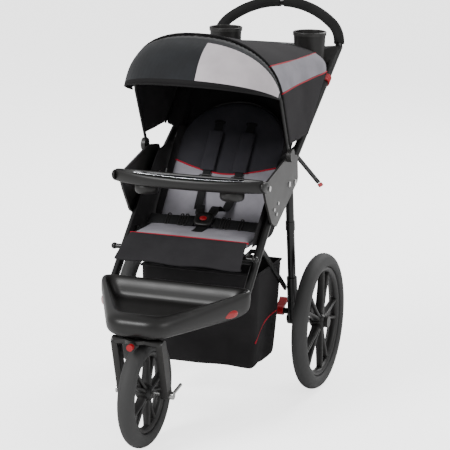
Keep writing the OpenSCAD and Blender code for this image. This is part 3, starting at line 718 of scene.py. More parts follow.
@dataclass
class Wheel:
    """An air tyre with tread blocks on a moulded rim of five forked spokes."""

    name: str
    tyre_node: str
    rim_node: str
    body: str
    tyre_r: float = 23.5 * MM
    spokes: int = 5
    hub_r: float = 22 * MM
    hub_half: float = 22.5 * MM
    groove_every: float = 13 * MM
    centre: Vector = field(init=False)
    radius: float = field(init=False)
    bore_r: float = 6.06 * MM
    groove_deep: float = 1.3 * MM
    bead_deep: float = 0.9 * MM
    rim_half: float = 14 * MM
    # angles of the tyre's section on one side of its crown, and those of the tread and the bead line
    section_deg: tuple[int, ...] = (13, 26, 38, 50, 62, 76, 92, 110, 132)
    tread_deg: int = 45
    bead_deg: int = 76

    def __post_init__(self) -> None:
        """Finds the wheel's centre and radius from its tyre."""
        low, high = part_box(self.tyre_node)
        self.centre = (low + high) / 2
        self.radius = (high.z - low.z) / 2

    def spin(self, x: float, r: float, a: float) -> Vector:
        """Gives the place at x across, r out and a round the wheel."""
        return self.centre + Vector((x, r * math.cos(a), r * math.sin(a)))

    def tyre(self) -> bpy.types.Object:
        """Makes the tyre: a round section with a raised, cut tread and a moulded bead line.

        Returns:
            The tyre.
        """
        r, mid = self.tyre_r, self.radius - self.tyre_r
        count = 2 * round(math.pi * self.radius / self.groove_every)
        inner = mid - r * 0.66
        rows = []
        half = self.section_deg
        section = [math.radians(d) for d in (*(-d for d in reversed(half)), 0, *half)]
        for k in range(count * 2):
            a = math.tau * k / (count * 2)
            row = []
            for i, s in enumerate(section):
                grow = 0.0
                if abs(s) < math.radians(self.tread_deg):
                    block = (k // 2 + (i % 2)) % 2 == 0
                    grow = 0.0 if block else -self.groove_deep
                elif abs(abs(s) - math.radians(self.bead_deg)) < 0.05:
                    grow = -self.bead_deep
                row.append(self.spin((r + grow) * math.sin(s), mid + (r + grow) * math.cos(s), a))
            for x, low in ((r * 0.62, inner), (0, inner - 1 * MM), (-r * 0.62, inner)):
                row.append(self.spin(x, low, a))
            rows.append(row)
        tyre = sheet_of(self.name + "_tyre_skin", rows + [rows[0]], [RUBBER], 0.0, wrap=True, smooth=0)
        return modified(tyre, ("WELD", {"merge_threshold": 1e-5}))

    def rim(self) -> bpy.types.Object:
        """Makes the rim ring, hub and spokes as one moulding.

        Returns:
            The rim.
        """
        outer = self.radius - 2 * self.tyre_r + 6.5 * MM
        flank = [(1.0, 0), (1.0, 4), (0.82, 10), (0.5, 14)]
        ring = [(-self.rim_half * a, outer - d * MM) for a, d in flank] + [(0, outer - 15 * MM)]
        ring += [(self.rim_half * a, outer - d * MM) for a, d in reversed(flank)]
        rows = [[self.spin(x, r, math.tau * k / 72) for x, r in ring] for k in range(72)]
        pieces = [sheet_of("rim_ring", rows + [rows[0]], [WHEEL_BLACK], 0.0, wrap=True, smooth=0)]
        hub = [(-self.hub_half, self.bore_r), (-self.hub_half, 15 * MM), (-self.hub_half + 3 * MM, 18 * MM),
               (-12 * MM, self.hub_r), (12 * MM, self.hub_r), (self.hub_half - 3 * MM, 18 * MM),
               (self.hub_half, 15 * MM), (self.hub_half, self.bore_r)]
        rows = [[self.spin(x, r, math.tau * k / 40) for x, r in hub] for k in range(40)]
        pieces.append(sheet_of("rim_hub", rows + [rows[0]], [WHEEL_BLACK], 0.0, wrap=True, smooth=0))
        for i in range(self.spokes):
            turn = math.tau * i / self.spokes
            for side in (-1, 1):
                pieces.append(self.spoke(turn, side, outer - 12 * MM))
            pieces.append(self.web(turn, outer - 12 * MM))
        return joined(self.name + "_rim_moulding", pieces)

    def spoke(self, turn: float, side: int, reach: float) -> bpy.types.Object:
        """Makes one rib of a forked spoke.

        Args:
            turn: Angle of the spoke.
            side: -1 or 1, the fork's side.
            reach: Where it meets the rim.

        Returns:
            The rib.
        """
        loops = []
        for k in range(9):
            t = k / 8
            r = self.hub_r * 0.8 + (reach - self.hub_r * 0.8) * t
            spread = side * (4.5 * MM + (0.19 * reach) * max(0.0, t - 0.12) ** 1.35)
            wide = (5.5 - 1.5 * math.sin(math.pi * t)) * MM
            deep = (13 - 4 * t) * MM
            direction = Vector((0, math.cos(turn), math.sin(turn)))
            aside = Vector((0, -math.sin(turn), math.cos(turn)))
            middle = self.centre + direction * r + aside * spread
            half = ((-1, -0.6), (-0.55, -1), (0.55, -1), (1, -0.6))
            section = half + tuple((-a, -b) for a, b in half)
            loops.append([middle + aside * (a * wide) + Vector((b * deep, 0, 0)) for a, b in section])
        return loft("spoke", loops, WHEEL_BLACK, smooth=0)

    def web(self, turn: float, reach: float) -> bpy.types.Object:
        """Makes the thin web between the ribs of a spoke.

        Args:
            turn: Angle of the spoke.
            reach: Where the rim starts.

        Returns:
            The web.
        """
        direction = Vector((0, math.cos(turn), math.sin(turn)))
        aside = Vector((0, -math.sin(turn), math.cos(turn)))
        loops = []
        for k in range(5):
            t = k / 4
            r = self.hub_r * 0.8 + (reach * 0.66 - self.hub_r * 0.8) * t
            wide = 6 * MM + 0.19 * reach * max(0.0, t * 0.6 - 0.12) ** 1.35
            loops.append([self.centre + direction * r + aside * (a * wide) + Vector((b * 3 * MM, 0, 0))
                          for a, b in ((-1, -1), (1, -1), (1, 1), (-1, 1))])
        return loft("web", loops, WHEEL_BLACK, smooth=0)

    def build(self) -> None:
        """Builds tyre and rim."""
        place(self.tyre(), self.body, "tyre_rubber", self.tyre_node)
        place(self.rim(), self.body, "wheel_plastic", self.rim_node)


def joined(name: str, pieces: Sequence[bpy.types.Object]) -> bpy.types.Object:
    """Joins meshes into one object.

    Args:
        name: The new object's name.
        pieces: The meshes.

    Returns:
        The joined object.
    """
    with bpy.context.temp_override(active_object=pieces[0], selected_editable_objects=list(pieces)):
        bpy.ops.object.join()
    pieces[0].name = name
    pieces[0].data.name = name
    return pieces[0]


# ---------------------------------------------------------------- canopy


@dataclass
class Canopy:
    """Woven cover with side bands, its bow, and the mesh sun visor."""

    frame: dict
    bow_angle: float = math.radians(115)
    rise: float = 388 * MM
    knee: float = 190 * MM
    bow_r: float = 4.5 * MM
    power: float = 2.3
    gap: float = 0.3 * MM
    foot_rear: tuple[float, float] = (0.206, 0.760)
    knee_rear: tuple[float, float] = (0.372, 0.918)
    top_rear: tuple[float, float] = (0.420, 0.988)
    visor_corner: tuple[float, float] = (-0.050, 0.900)
    visor_tip: tuple[float, float] = (-0.255, 0.955)
    cover_t: float = 3.2 * MM
    visor_t: float = 1.6 * MM
    sag: float = 7 * MM
    ripple: float = 1.2 * MM
    piping_r: float = 2.6 * MM
    keep: float = 0.12
    # height and slope of the side band's lower and upper edge, and the depth at which it is measured
    band_lines: tuple[tuple[float, float, float], ...] = ((0.912, 0.0087, 0.091), (0.997, -0.0569, 0.144))

    def __post_init__(self) -> None:
        """Finds the hubs' axis, the half width, and the bow's direction and the one behind it."""
        joint = next(j for j in self.frame["joints"] if j["name"] == "canopy_fold")
        self.pivot = Vector(joint["pos_m"])
        self.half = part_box("canopy_cover")[1].x
        self.bow = Vector((0, math.cos(self.bow_angle), math.sin(self.bow_angle)))
        self.behind = Vector((0, self.bow.z, -self.bow.y))

    def arch(self, side: float, low: Vector, top: Vector, a: float) -> Vector:
        """Gives a place on an arch over the child.

        Args:
            side: -1 or 1.
            low: The knee, where the arch starts.
            top: The crown.
            a: Angle, from 0 at the knee to a quarter turn at the crown.

        Returns:
            The place.
        """
        c, s = superellipse(a, self.power)
        spot = low.lerp(top, s)
        return Vector((side * self.half * c, spot.y, spot.z))

    def section(self, v: float) -> tuple[Vector, Vector, Vector]:
        """Gives the three points that a section of the cover runs through.

        Args:
            v: The section, from 0 at the bow to 1 at the rear.

        Returns:
            Foot, knee and crown.
        """
        off = self.behind * (self.bow_r + self.gap)
        foot = (self.pivot + self.bow * 33 * MM + off).lerp(Vector((0, *self.foot_rear)), v)
        knee = (self.pivot + self.bow * self.knee + off).lerp(Vector((0, *self.knee_rear)), v)
        crown = (self.pivot + self.bow * self.rise + off).lerp(Vector((0, *self.top_rear)), v)
        return foot, knee, crown

    def band_angle(self, v: float, edge: int) -> float:
        """Finds where an edge of the side band crosses a section.

        Args:
            v: The section.
            edge: 0 for the band's lower edge and 1 for the upper one.

        Returns:
            The arch's angle there.
        """
        low, high = 0.0, math.pi / 2
        _, knee, crown = self.section(v)
        height, slope, depth = self.band_lines[edge]
        for _ in range(30):
            a = (low + high) / 2
            p = self.arch(1, knee, crown, a)
            line = height + slope * (p.y + depth)
            low, high = (a, high) if p.z < line else (low, a)
        return (low + high) / 2

    def half_row(self, v: float) -> Row:
        """Gives one half of a section, with columns on the band's edges.

        Args:
            v: The section.

        Returns:
            Points from the foot up to the crown.
        """
        foot, knee, crown = self.section(v)
        lower, upper = self.band_angle(v, 0), self.band_angle(v, 1)
        side = [Vector((self.half, p.y, p.z)) for p in (foot.lerp(knee, k / 5) for k in range(5))]
        angles = [lower * k / 3 for k in range(3)] + [lower + (upper - lower) * k / 4 for k in range(4)]
        angles += [upper + (math.pi / 2 - upper) * k / 9 for k in range(10)]
        row = side + [self.arch(1, knee, crown, a) for a in angles]
        # the cloth hangs in a little between the bow and the rear seam
        if not 0 < v < 1:
            return row
        slack = math.sin(math.pi * v)
        middle = Vector((0, 0.17, 0.93))
        sunk = []
        for k, p in enumerate(row):
            wave = math.sin(3.1 * math.pi * v + 0.7 * k) * self.ripple * slack
            inward = (middle - Vector((p.x * 0.5, p.y, p.z))).normalized()
            sunk.append(p + inward * (self.sag * slack * (k > 1) + wave))
        return sunk

    def cover(self) -> None:
        """Builds the cover with its heather bands, pipings and hems."""
        steps = [k / 12 for k in range(13)]
        halves = [self.half_row(v) for v in steps]
        rows = [h + list(reversed(mirrored(h[:-1]))) for h in halves]
        width = len(rows[0])
        low_col, high_col = 8, 12

        def zone(_: int, j: int) -> int:
            """Picks the heather cloth inside the bands."""
            column = min(j, width - 2 - j)
            return 1 if low_col <= column < high_col else 0

        cloth = sheet_of("canopy_cloth", rows, [CANOPY_CLOTH, GREY_CLOTH], self.cover_t, zone)
        place(cloth, "canopy", "canopy_cloth", "canopy_cover")
        self.flat_size(rows)
        self.area(rows)
        self.crumple(cloth)
        for side in (-1, 1):
            name = "left" if side < 0 else "right"
            for column, label in ((low_col, "lower"), (high_col, "upper")):
                path = [h[column] + Vector((1.2 * MM, 0, 0)) for h in halves]
                path = curve_through(path if side > 0 else mirrored(path), 2)
                piping = cord_of(f"canopy_piping_{label}_{name}", path, self.piping_r, PIPING_RED)
                self.crumple(place(piping, "canopy", "canopy_cloth"))
        for v, label in ((0.0, "front"), (1.0, "rear")):
            h = halves[0] if v == 0 else halves[-1]
            path = h + list(reversed(mirrored(h[:-1])))
            inward = [p - self.behind * (2.5 * MM if v else -2.5 * MM) for p in path]
            hem = cord_of("canopy_hem_" + label, inward, 3.0 * MM, PIPING_DARK)
            self.crumple(place(hem, "canopy", "canopy_cloth"))

    def crumple(self, thing: bpy.types.Object) -> None:
        """Gives a canopy piece its own copy of its mesh."""
        tuple(self.behind)
        tuple(self.pivot)
        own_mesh(thing)

    def area(self, rows: list[Row]) -> float:
        """Measures the area of a cloth.

        Args:
            rows: The cloth's grid of points.

        Returns:
            The area in square metres.
        """
        total = 0.0
        for upper, lower in zip(rows, rows[1:]):
            for j in range(len(upper) - 1):
                total += (upper[j + 1] - upper[j]).cross(lower[j] - upper[j]).length / 2
                total += (lower[j + 1] - upper[j + 1]).cross(lower[j + 1] - lower[j]).length / 2
        return total

    def flat_size(self, rows: list[Row]) -> tuple[float, float]:
        """Measures the flat size that a cloth was cut from.

        Args:
            rows: The cloth's grid of points.

        Returns:
            Width and length.
        """
        width = max(sum((b - a).length for a, b in zip(row, row[1:])) for row in rows)
        columns = list(zip(*rows))
        length = max(sum((b - a).length for a, b in zip(column, column[1:])) for column in columns)
        return width, length

    def visor_place(self, v: float, t: float, inset: float) -> Vector:
        """Gives a place on the visor.

        Args:
            v: From 0 at the bow to 1 at the front edge.
            t: From -1 to 1 across.
            inset: How far the place lies inside the visor's outline.

        Returns:
            The place.
        """
        a = math.pi / 2 * (1 - abs(t))
        side = -1 if t < 0 else 1
        c, s = superellipse(a, self.power)
        ahead = Vector((0, -self.bow.z, self.bow.y)) * (self.bow_r + self.gap)
        start = self.knee + 16 * MM
        root = self.pivot + ahead + self.bow * (start + (self.rise - inset - start) * s)
        corner, tip = Vector((0, *self.visor_corner)), Vector((0, *self.visor_tip))
        edge = corner + (tip - corner) * math.sin(a) ** 0.9
        spot = root.lerp(edge, v) + 22 * MM * math.sin(math.pi * v) * math.sin(a) * Vector((0, -0.6, 0.8))
        return Vector((side * (self.half - inset) * c, spot.y, spot.z))

    def visor(self) -> None:
        """Builds the mesh visor with its pale panel and dark front band."""
        columns = 96
        rows = []
        for i in range(13):
            v = i / 12
            row = []
            for j in range(columns + 1):
                t = -1 + 2 * j / columns
                rib = (0.9 * MM if j % 2 else 0.0) * (v < 0.9)
                row.append(self.visor_place(v, t, 1.2 * MM + rib))
            rows.append(row)

        def zone(i: int, j: int) -> int:
            """Picks the finish of one face.

            Args:
                i: Row of the face.
                j: Column of the face.

            Returns:
                2 in the front band, 1 in the pale panel on one side, and 0 in the mesh.
            """
            if i >= 11:
                return 2
            return 1 if i >= 2 and columns * 0.55 <= j < columns * 0.97 else 0

        cloth = sheet_of("visor_cloth", rows, [MESH_CLOTH, LINING, PIPING_DARK], self.visor_t, zone, smooth=0)
        place(cloth, "visor", "canopy_cloth", "sun_visor")
        self.flat_size(rows)
        self.area(rows)
        self.crumple(cloth)
        for v, name, radius in ((1.0, "visor_wire_hem", 3 * MM), (0.0, "visor_root_seam", 2.2 * MM)):
            path = [self.visor_place(v, -1 + 2 * k / 48, 2 * MM) for k in range(49)]
            self.crumple(place(cord_of(name, path, radius, PIPING_DARK), "visor", "canopy_cloth"))

    def hood_back(self) -> None:
        """Builds the dark cloth that closes the space between the canopy's rear seam and the backrest."""
        hinge = Vector(next(j for j in self.frame["joints"] if j["name"] == "backrest_recline")["pos_m"])
        up, out = Vector((0, 0.6293, 0.7771)), Vector((0, -0.7771, 0.6293))
        foot, knee, crown = self.section(1.0)
        rows = []
        for k in range(49):
            t = -1 + k / 24
            side = -1 if t < 0 else 1
            lift = 1 - abs(t)
            if lift < 0.25:
                hem = foot.lerp(knee, lift / 0.25)
                seam = Vector((side * (self.half - 2 * MM), hem.y - 14 * MM, hem.z - 8 * MM))
                hem = Vector((side * 184 * MM, hem.y, hem.z))
                rest = hinge + up * (120 + 600 * lift) * MM - out * 12 * MM + Vector((side * 166 * MM, 0, 0))
            else:
                a = math.pi / 2 * (lift - 0.25) / 0.75
                hem = self.arch(side, knee, crown, a)
                seam = hem - Vector((side * 2 * MM, 14 * MM, 4 * MM))
                hem.x *= 0.83 + 0.17 * math.sin(a)
                rest = hinge + up * (270 + 146 * math.sin(a)) * MM - out * 12 * MM
                rest += Vector((side * 160 * MM * math.cos(a), 0, 0))
            middle = hem.lerp(rest, 0.5) + Vector((0, 12 * MM, -6 * MM + 3 * MM * math.sin(9 * t)))
            rows.append([seam, hem - Vector((0, 4 * MM, 3 * MM)), hem.lerp(middle, 0.5), middle,
                         middle.lerp(rest, 0.5), rest])
        cloth = sheet_of("hood_back_cloth", rows, [DARK_CLOTH], 1.6 * MM)
        self.crumple(place(cloth, "canopy", "canopy_cloth"))

    def build(self) -> None:
        """Builds the canopy's pieces."""
        self.cover()
        self.hood_back()
        self.visor()
        dress(self.frame, MOULDED_BLACK, "canopy_hubs")
        dress(self.frame, TUBE_BLACK, "canopy_bow")


# ---------------------------------------------------------------- seat


@dataclass
class Seat:
    """Padded backrest and seat, cloth walls, calf flap and the five point harness."""

    frame: dict
    lean: float = math.radians(51)
    face: float = 14 * MM
    back: float = 10 * MM
    half: float = 163 * MM
    length: float = 420 * MM
    shoulder: float = 270 * MM
    curve_low: float = 170 * MM
    curve_side: float = 208 * MM
    tilt: float = math.radians(38)
    buckle_at: Vector = field(default_factory=Vector)
    # the strap adjusters' tube, and the shoulder straps' distance from the middle
    slider_r: float = 1.9 * MM
    strap_x: float = 50 * MM

    def __post_init__(self) -> None:
        """Finds the backrest's hinge, the direction along it and the one that it faces."""
        joint = next(j for j in self.frame["joints"] if j["name"] == "backrest_recline")
        self.pivot = Vector(joint["pos_m"])
        self.up = Vector((0, math.cos(self.lean), math.sin(self.lean)))
        self.out = Vector((0, -math.sin(self.lean), math.cos(self.lean)))

    def on_back(self, x: float, along: float, proud: float) -> Vector:
        """Gives a place on the backrest, along it from its hinge and proud of its face."""
        return self.pivot + Vector((x, 0, 0)) + self.up * along + self.out * (self.face + proud)

    def backrest(self) -> None:
        """Builds the padded backrest: grey below its red curved seam and black above."""
        start = 6 * MM
        columns, low_rows, high_rows = 28, 12, 18

        def side(front: bool) -> list[Row]:
            """Makes the grid of one face of the pad.

            Args:
                front: Whether it is the front face.

            Returns:
                The rows, from the hinge up.
            """
            grid = []
            for i in range(low_rows + high_rows + 1):
                row = []
                for j in range(columns + 1):
                    u = math.sin(math.pi / 2 * (-1 + 2 * j / columns))
                    seam = self.curve_low + (self.curve_side - self.curve_low) * abs(u) ** 1.7
                    top = self.shoulder + (self.length - self.shoulder) * math.sqrt(max(0.0, 1 - u * u))
                    if i <= low_rows:
                        along = start + (seam - start) * i / low_rows
                    else:
                        along = seam + (top - seam) * (i - low_rows) / high_rows
                    q = 2 * (along - start) / (top - start) - 1
                    crown = (max(0.0, 1 - abs(u) ** 7) * max(0.0, 1 - abs(q) ** 9)) ** 0.45
                    dip = 3.5 * MM * math.exp(-(((along - seam) / (9 * MM)) ** 2)) * crown
                    middle = (self.face - self.back) / 2 - self.face
                    depth = (self.face + self.back) / 2 - 1 * MM
                    proud = middle + (depth * crown - dip if front else -depth * crown)
                    row.append(self.on_back(u * self.half * (1 - 0.012 * (1 - crown)), along, proud))
                grid.append(row)
            return grid

        front, rear = side(True), side(False)
        pads = []
        for label, grid, flip in (("front", front, False), ("rear", rear, True)):
            rows = [list(reversed(r)) for r in grid] if flip else grid
            pads.append(sheet_of("pad_" + label, rows, [GREY_CLOTH, SEAT_BLACK], 0.0,
                                 lambda i, j: 0 if i < low_rows else 1, smooth=0))
        pad = joined("backrest_pad", pads)
        modified(pad, ("WELD", {"merge_threshold": 0.4 * MM}), ("SUBSURF", {"levels": 1, "render_levels": 1}))
        place(pad, "backrest", "black_cloth", "seat_back")
        seam = [front[low_rows][j] + self.out * 1.2 * MM for j in range(1, columns)]
        piping = cord_of("backrest_red_seam", curve_through(seam, 2), 2.4 * MM, PIPING_RED)
        place(piping, "backrest", "seat_cloth")
        arch = cord_of("backrest_arch_piping", curve_through(front[-1], 2), 3.2 * MM, PIPING_DARK)
        place(arch, "backrest", "black_cloth")
        for side, name in ((-1, "left"), (1, "right")):
            wing = [self.on_back(side * 170 * MM, a * MM, -11 * MM) for a in (14, 80, 150, 220, 290, 330)]
            made = strap_of("backrest_wing_" + name, wing, Vector((1, 0, 0)), 25 * MM, 5 * MM, DARK_CLOTH)
            place(made, "backrest", "black_cloth")
        roll = [Vector((self.half * k / 2, self.pivot.y, self.pivot.z)) for k in range(-2, 3)]
        place(cord_of("backrest_hem_roll", roll, 10.5 * MM, GREY_CLOTH, 20), "backrest", "seat_cloth")

    def seat_pad(self) -> None:
        """Builds the padded seat bottom with its crown and red front piping."""
        low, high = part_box("seat_pad")
        loops = []
        count = 44
        for i in range(25):
            t = -1 + 2 * i / 24
            y = low.y + (high.y - low.y) * (t + 1) / 2
            swell = max(0.0, 1 - abs(t) ** 6) ** 0.5
            half_h = (high.z - low.z) / 2 * (0.3 + 0.7 * swell)
            loop = []
            for k in range(count):
                c, s = superellipse(math.tau * k / count, 5.5)
                tuft = 1.6 * MM * math.cos(c * 5) * (s > 0) * swell
                loop.append(Vector((c * (high.x - 1.5 * MM), y, (low.z + high.z) / 2 + s * half_h - tuft)))
            loops.append(loop)
        pad = puff(loft("seat_cushion", list(reversed(loops)), GREY_CLOTH, smooth=0), 6 * MM, 3 * MM)
        place(pad, "frame", "seat_cloth", "seat_pad")
        path = [Vector((x, low.y + 1 * MM, high.z - 2 * MM - 4 * MM * (x / high.x) ** 2 * 0.3))
                for x in (high.x * (-1 + k / 10) for k in range(21))]
        place(cord_of("seat_front_piping", path, 3.0 * MM, PIPING_RED), "frame", "seat_cloth")

    def calf_flap(self) -> None:
        """Builds the cloth flap below the seat, with a turned hem and a wavy lower edge."""
        low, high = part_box("calf_flap")
        top_z, front_y = high.z - 1 * MM, low.y
        rows = []
        for i in range(15):
            v = i / 14
            row = []
            for j in range(41):
                u = -1 + j / 20
                half = (176 + 13 * v) * MM
                y = high.y - 1.5 * MM + (front_y - high.y + 4 * MM) * v
                z = top_z + (low.z + 3 * MM - top_z) * v**1.25
                z += -2.6 * MM * v * math.cos(u * 7.3) - 3 * MM * v * (1 - u * u) * 0.6
                y += 1.5 * MM * v * math.sin(u * 5.1 + 1)
                row.append(Vector((u * half, y, z)))
            rows.append(row)
        turned = [
            [p + Vector((0, 5 * MM * k, -2.2 * MM * (1.5 - k))) for p in rows[-1]] for k in (0.4, 1.4, 2.6)
        ]
        flap = sheet_of("calf_flap_cloth", rows + turned, [FLAP_CLOTH], 2.2 * MM)
        place(flap, "frame", "black_cloth", "calf_flap")
        stitch = [p + Vector((0, -0.3 * MM, 0.9 * MM)) for p in rows[-3]]
        place(cord_of("flap_hem_stitching", stitch, 0.9 * MM, PIPING_DARK), "frame", "black_cloth")

    def walls(self) -> None:
        """Builds the cloth walls beside the seat, pleated where they hang from the canopy."""
        for side, name in ((-1, "left"), (1, "right")):
            low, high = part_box("side_panel_" + name)
            x0 = (low.x + high.x) / 2
            lower = [(-166, 496), (-60, 496), (10, 496), (70, 545), (120, 590), (170, 650), (214, 704)]
            upper = [(-140, 530), (-100, 566), (-60, 606), (0, 656), (60, 706), (130, 714), (200, 722)]
            bottom = curve_through([Vector((0, y * MM, z * MM)) for y, z in lower], 5)
            top = curve_through([Vector((0, y * MM, z * MM)) for y, z in upper], 5)
            rows = []
            for i in range(11):
                v = i / 10
                row = []
                for j, (a, b) in enumerate(zip(bottom, top)):
                    p = a.lerp(b, v)
                    fold = 0.9 * MM * math.sin(j * 1.1) * math.sin(math.pi * v)
                    row.append(Vector((x0 + side * fold, p.y, p.z)))
                rows.append(row if side < 0 else list(reversed(row)))
            wall = sheet_of("side_wall_" + name, rows, [DARK_CLOTH], 1.6 * MM)
            place(wall, "frame", "black_cloth", "side_panel_" + name)

    def harness(self) -> None:
        """Builds shoulder straps with pads, sliders, the waist belt, buckle and crotch strap."""
        across = Vector((1, 0, 0))
        low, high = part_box("harness_buckle")
        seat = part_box("seat_pad")[1].z
        # the child's lap lifts the rear edge of the buckle and belt, so they face forwards
        rise = Vector((0, math.cos(self.tilt), math.sin(self.tilt)))
        facing = Vector((0, -math.sin(self.tilt), math.cos(self.tilt)))
        self.buckle_at = Vector((0, low.y, seat + 1.5 * MM)) + rise * (high.y - low.y) / 2 + facing * 15 * MM
        for side, name in ((-1, "left"), (1, "right")):
            x = side * self.strap_x
            spots = ((338, 1.0), (325, 2.5), (250, 3.4), (170, 3.2), (112, 3.0))
            path = curve_through([self.on_back(x, a * MM, p * MM) for a, p in spots], 5)
            strap = strap_of("shoulder_strap_" + name, path, across, 25 * MM, 2 * MM, WEBBING)
            place(strap, "backrest", "webbing", *(("shoulder_straps",) if side < 0 else ()))
            spots = ((304, 6), (296, 7.2), (240, 7.6), (184, 7.2), (176, 6))
            path = curve_through([self.on_back(x, a * MM, p * MM) for a, p in spots], 5)
            sleeve = strap_of("shoulder_sleeve_" + name, path, across, 44 * MM, 6.5 * MM, SEAT_BLACK)
            place(sleeve, "backrest", "webbing")
            for along in (150, 122):
                where = self.on_back(x, along * MM, 6 * MM)
                label = f"strap_slider_{name}_{along}"
                self.slider(label, where, 38 * MM, 18 * MM, self.up, self.out, "backrest")
            start = self.on_back(x, 114 * MM, 3 * MM)
            end = self.buckle_at + rise * 26 * MM - facing * 6 * MM + Vector((side * 20 * MM, 0, 0))
            drop = [start, self.on_back(x * 0.95, 84 * MM, 6 * MM), self.on_back(x * 0.8, 40 * MM, 20 * MM),
                    end + Vector((side * 4 * MM, 0, 0)) + rise * 24 * MM, end]
            web = strap_of("lap_strap_" + name, curve_through(drop, 6), across, 25 * MM, 2 * MM, WEBBING)
            tuple(drop[3])
            tuple(drop[1])
            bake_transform(web)
            path = [end + Vector((side * 3 * MM, 0, 0)) + rise * 20 * MM, end,
                    end - Vector((side * 4 * MM, 0, 0)) - rise * 12 * MM]
            tongue = strap_of("strap_tongue_" + name, path, across, 28 * MM, 5 * MM, MOULDED_BLACK)
            place(tongue, "frame", "moulded_plastic")
            path = [self.on_back(x, a * MM, 0.8 * MM) for a in (330, 346)]
            slot = strap_of("strap_slot_" + name, path, across, 38 * MM, 3 * MM, PIPING_DARK)
            place(slot, "backrest", "webbing")
            base = Vector((0, low.y + 9 * MM, seat + 2 * MM)) + rise * 18 * MM
            belt = [base + Vector((side * a * MM, 0, 0)) + facing * b * MM for a, b in
                    ((27, 7), (48, 5), (90, 2), (140, 1), (173, 2))]
            made = strap_of("waist_belt_" + name, curve_through(belt, 4), rise, 35 * MM, 4 * MM, WEBBING)
            place(made, "frame", "webbing", *(("waist_belt",) if side < 0 else ()))
            for k, (a, h) in enumerate(((56, 7.0), (72, 5.8), (112, 4.2))):
                where = base + Vector((side * a * MM, 0, 0)) + facing * h * MM
                self.slider(f"belt_slider_{name}_{k}", where, 41 * MM, 9 * MM, across, facing, "frame")
        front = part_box("crotch_strap")[0].y
        spots = ((0, 1.8), (26, 2.2), (44, 6), (56, 16))
        crotch = [Vector((0, front + a * MM, seat + h * MM)) for a, h in spots]
        strap = strap_of("crotch_strap_web", curve_through(crotch, 5), across, 34 * MM, 3 * MM, WEBBING)
        place(strap, "frame", "webbing", "crotch_strap")
        self.buckle()

    def slider(self, name: str, where: Vector, wide: float, tall: float, tall_dir: Vector, out: Vector,
               body: str) -> None:
        """Builds a plastic strap adjuster: a rounded ring round the strap.

        Args:
            name: Object name.
            where: Its middle.
            wide: Length across the strap.
            tall: Length along the strap.
            tall_dir: Direction along the strap.
            out: Direction that it faces.
            body: Its body.
        """
        wide_dir = tall_dir.cross(out).normalized()
        ring = []
        for k in range(24):
            c, s = superellipse(math.tau * k / 24, 5)
            ring.append(where + wide_dir * (c * wide / 2) + tall_dir * (s * tall / 2))
        place(cord_of(name, ring, self.slider_r, MOULDED_BLACK, 8, closed=True), body, "moulded_plastic")

    def buckle(self) -> None:
        """Builds the buckle's shell round its red button."""
        rise = Vector((0, math.cos(self.tilt), math.sin(self.tilt)))
        facing = Vector((0, -math.sin(self.tilt), math.cos(self.tilt)))

        def ring(wide: float, tall: float, up: float, power: float) -> Row:
            """Gives a rounded loop that lies across the way the buckle faces.

            Args:
                wide: Half width in millimetres.
                tall: Half height in millimetres.
                up: Distance towards the front in millimetres.
                power: How square it is, from 2 for an ellipse.

            Returns:
                The loop.
            """
            loop = []
            for k in range(32):
                c, s = superellipse(math.tau * k / 32, power)
                step = Vector((c * wide, 0, 0)) + rise * (s * tall) + facing * up
                loop.append(self.buckle_at + step * MM)
            return loop

        steps = ((-13.6, 0.9), (-11, 1.0), (-4, 1.0), (-1.2, 0.94), (0, 0.8))
        loops = [ring(size * 29, size * 25, down, 3.2) for down, size in steps]
        loops += [ring(13, 9.6, -0.6, 2.0), ring(12.2, 8.8, -2.4, 2.0)]
        shell = loft("buckle_shell", loops, MOULDED_BLACK, smooth=1)
        place(shell, "frame", "moulded_plastic", "harness_buckle")
        caps = [ring(11.8 * size, 8.4 * size, up, 2.0) for up, size in ((-2.2, 1.0), (0.6, 0.98), (1.8, 0.8))]
        cap = loft("buckle_button_cap", caps, RED_PLASTIC, smooth=1)
        place(cap, "buckle_button", "red_plastic", "buckle_button")

    def build(self) -> None:
        """Builds the seat's pieces."""
        self.backrest()
        self.seat_pad()
        self.calf_flap()
        self.walls()
        self.harness()
        dress(self.frame, WEBBING, "recline_strap")
        dress(self.frame, RED_PLASTIC, "recline_strap_tab")


# ---------------------------------------------------------------- basket


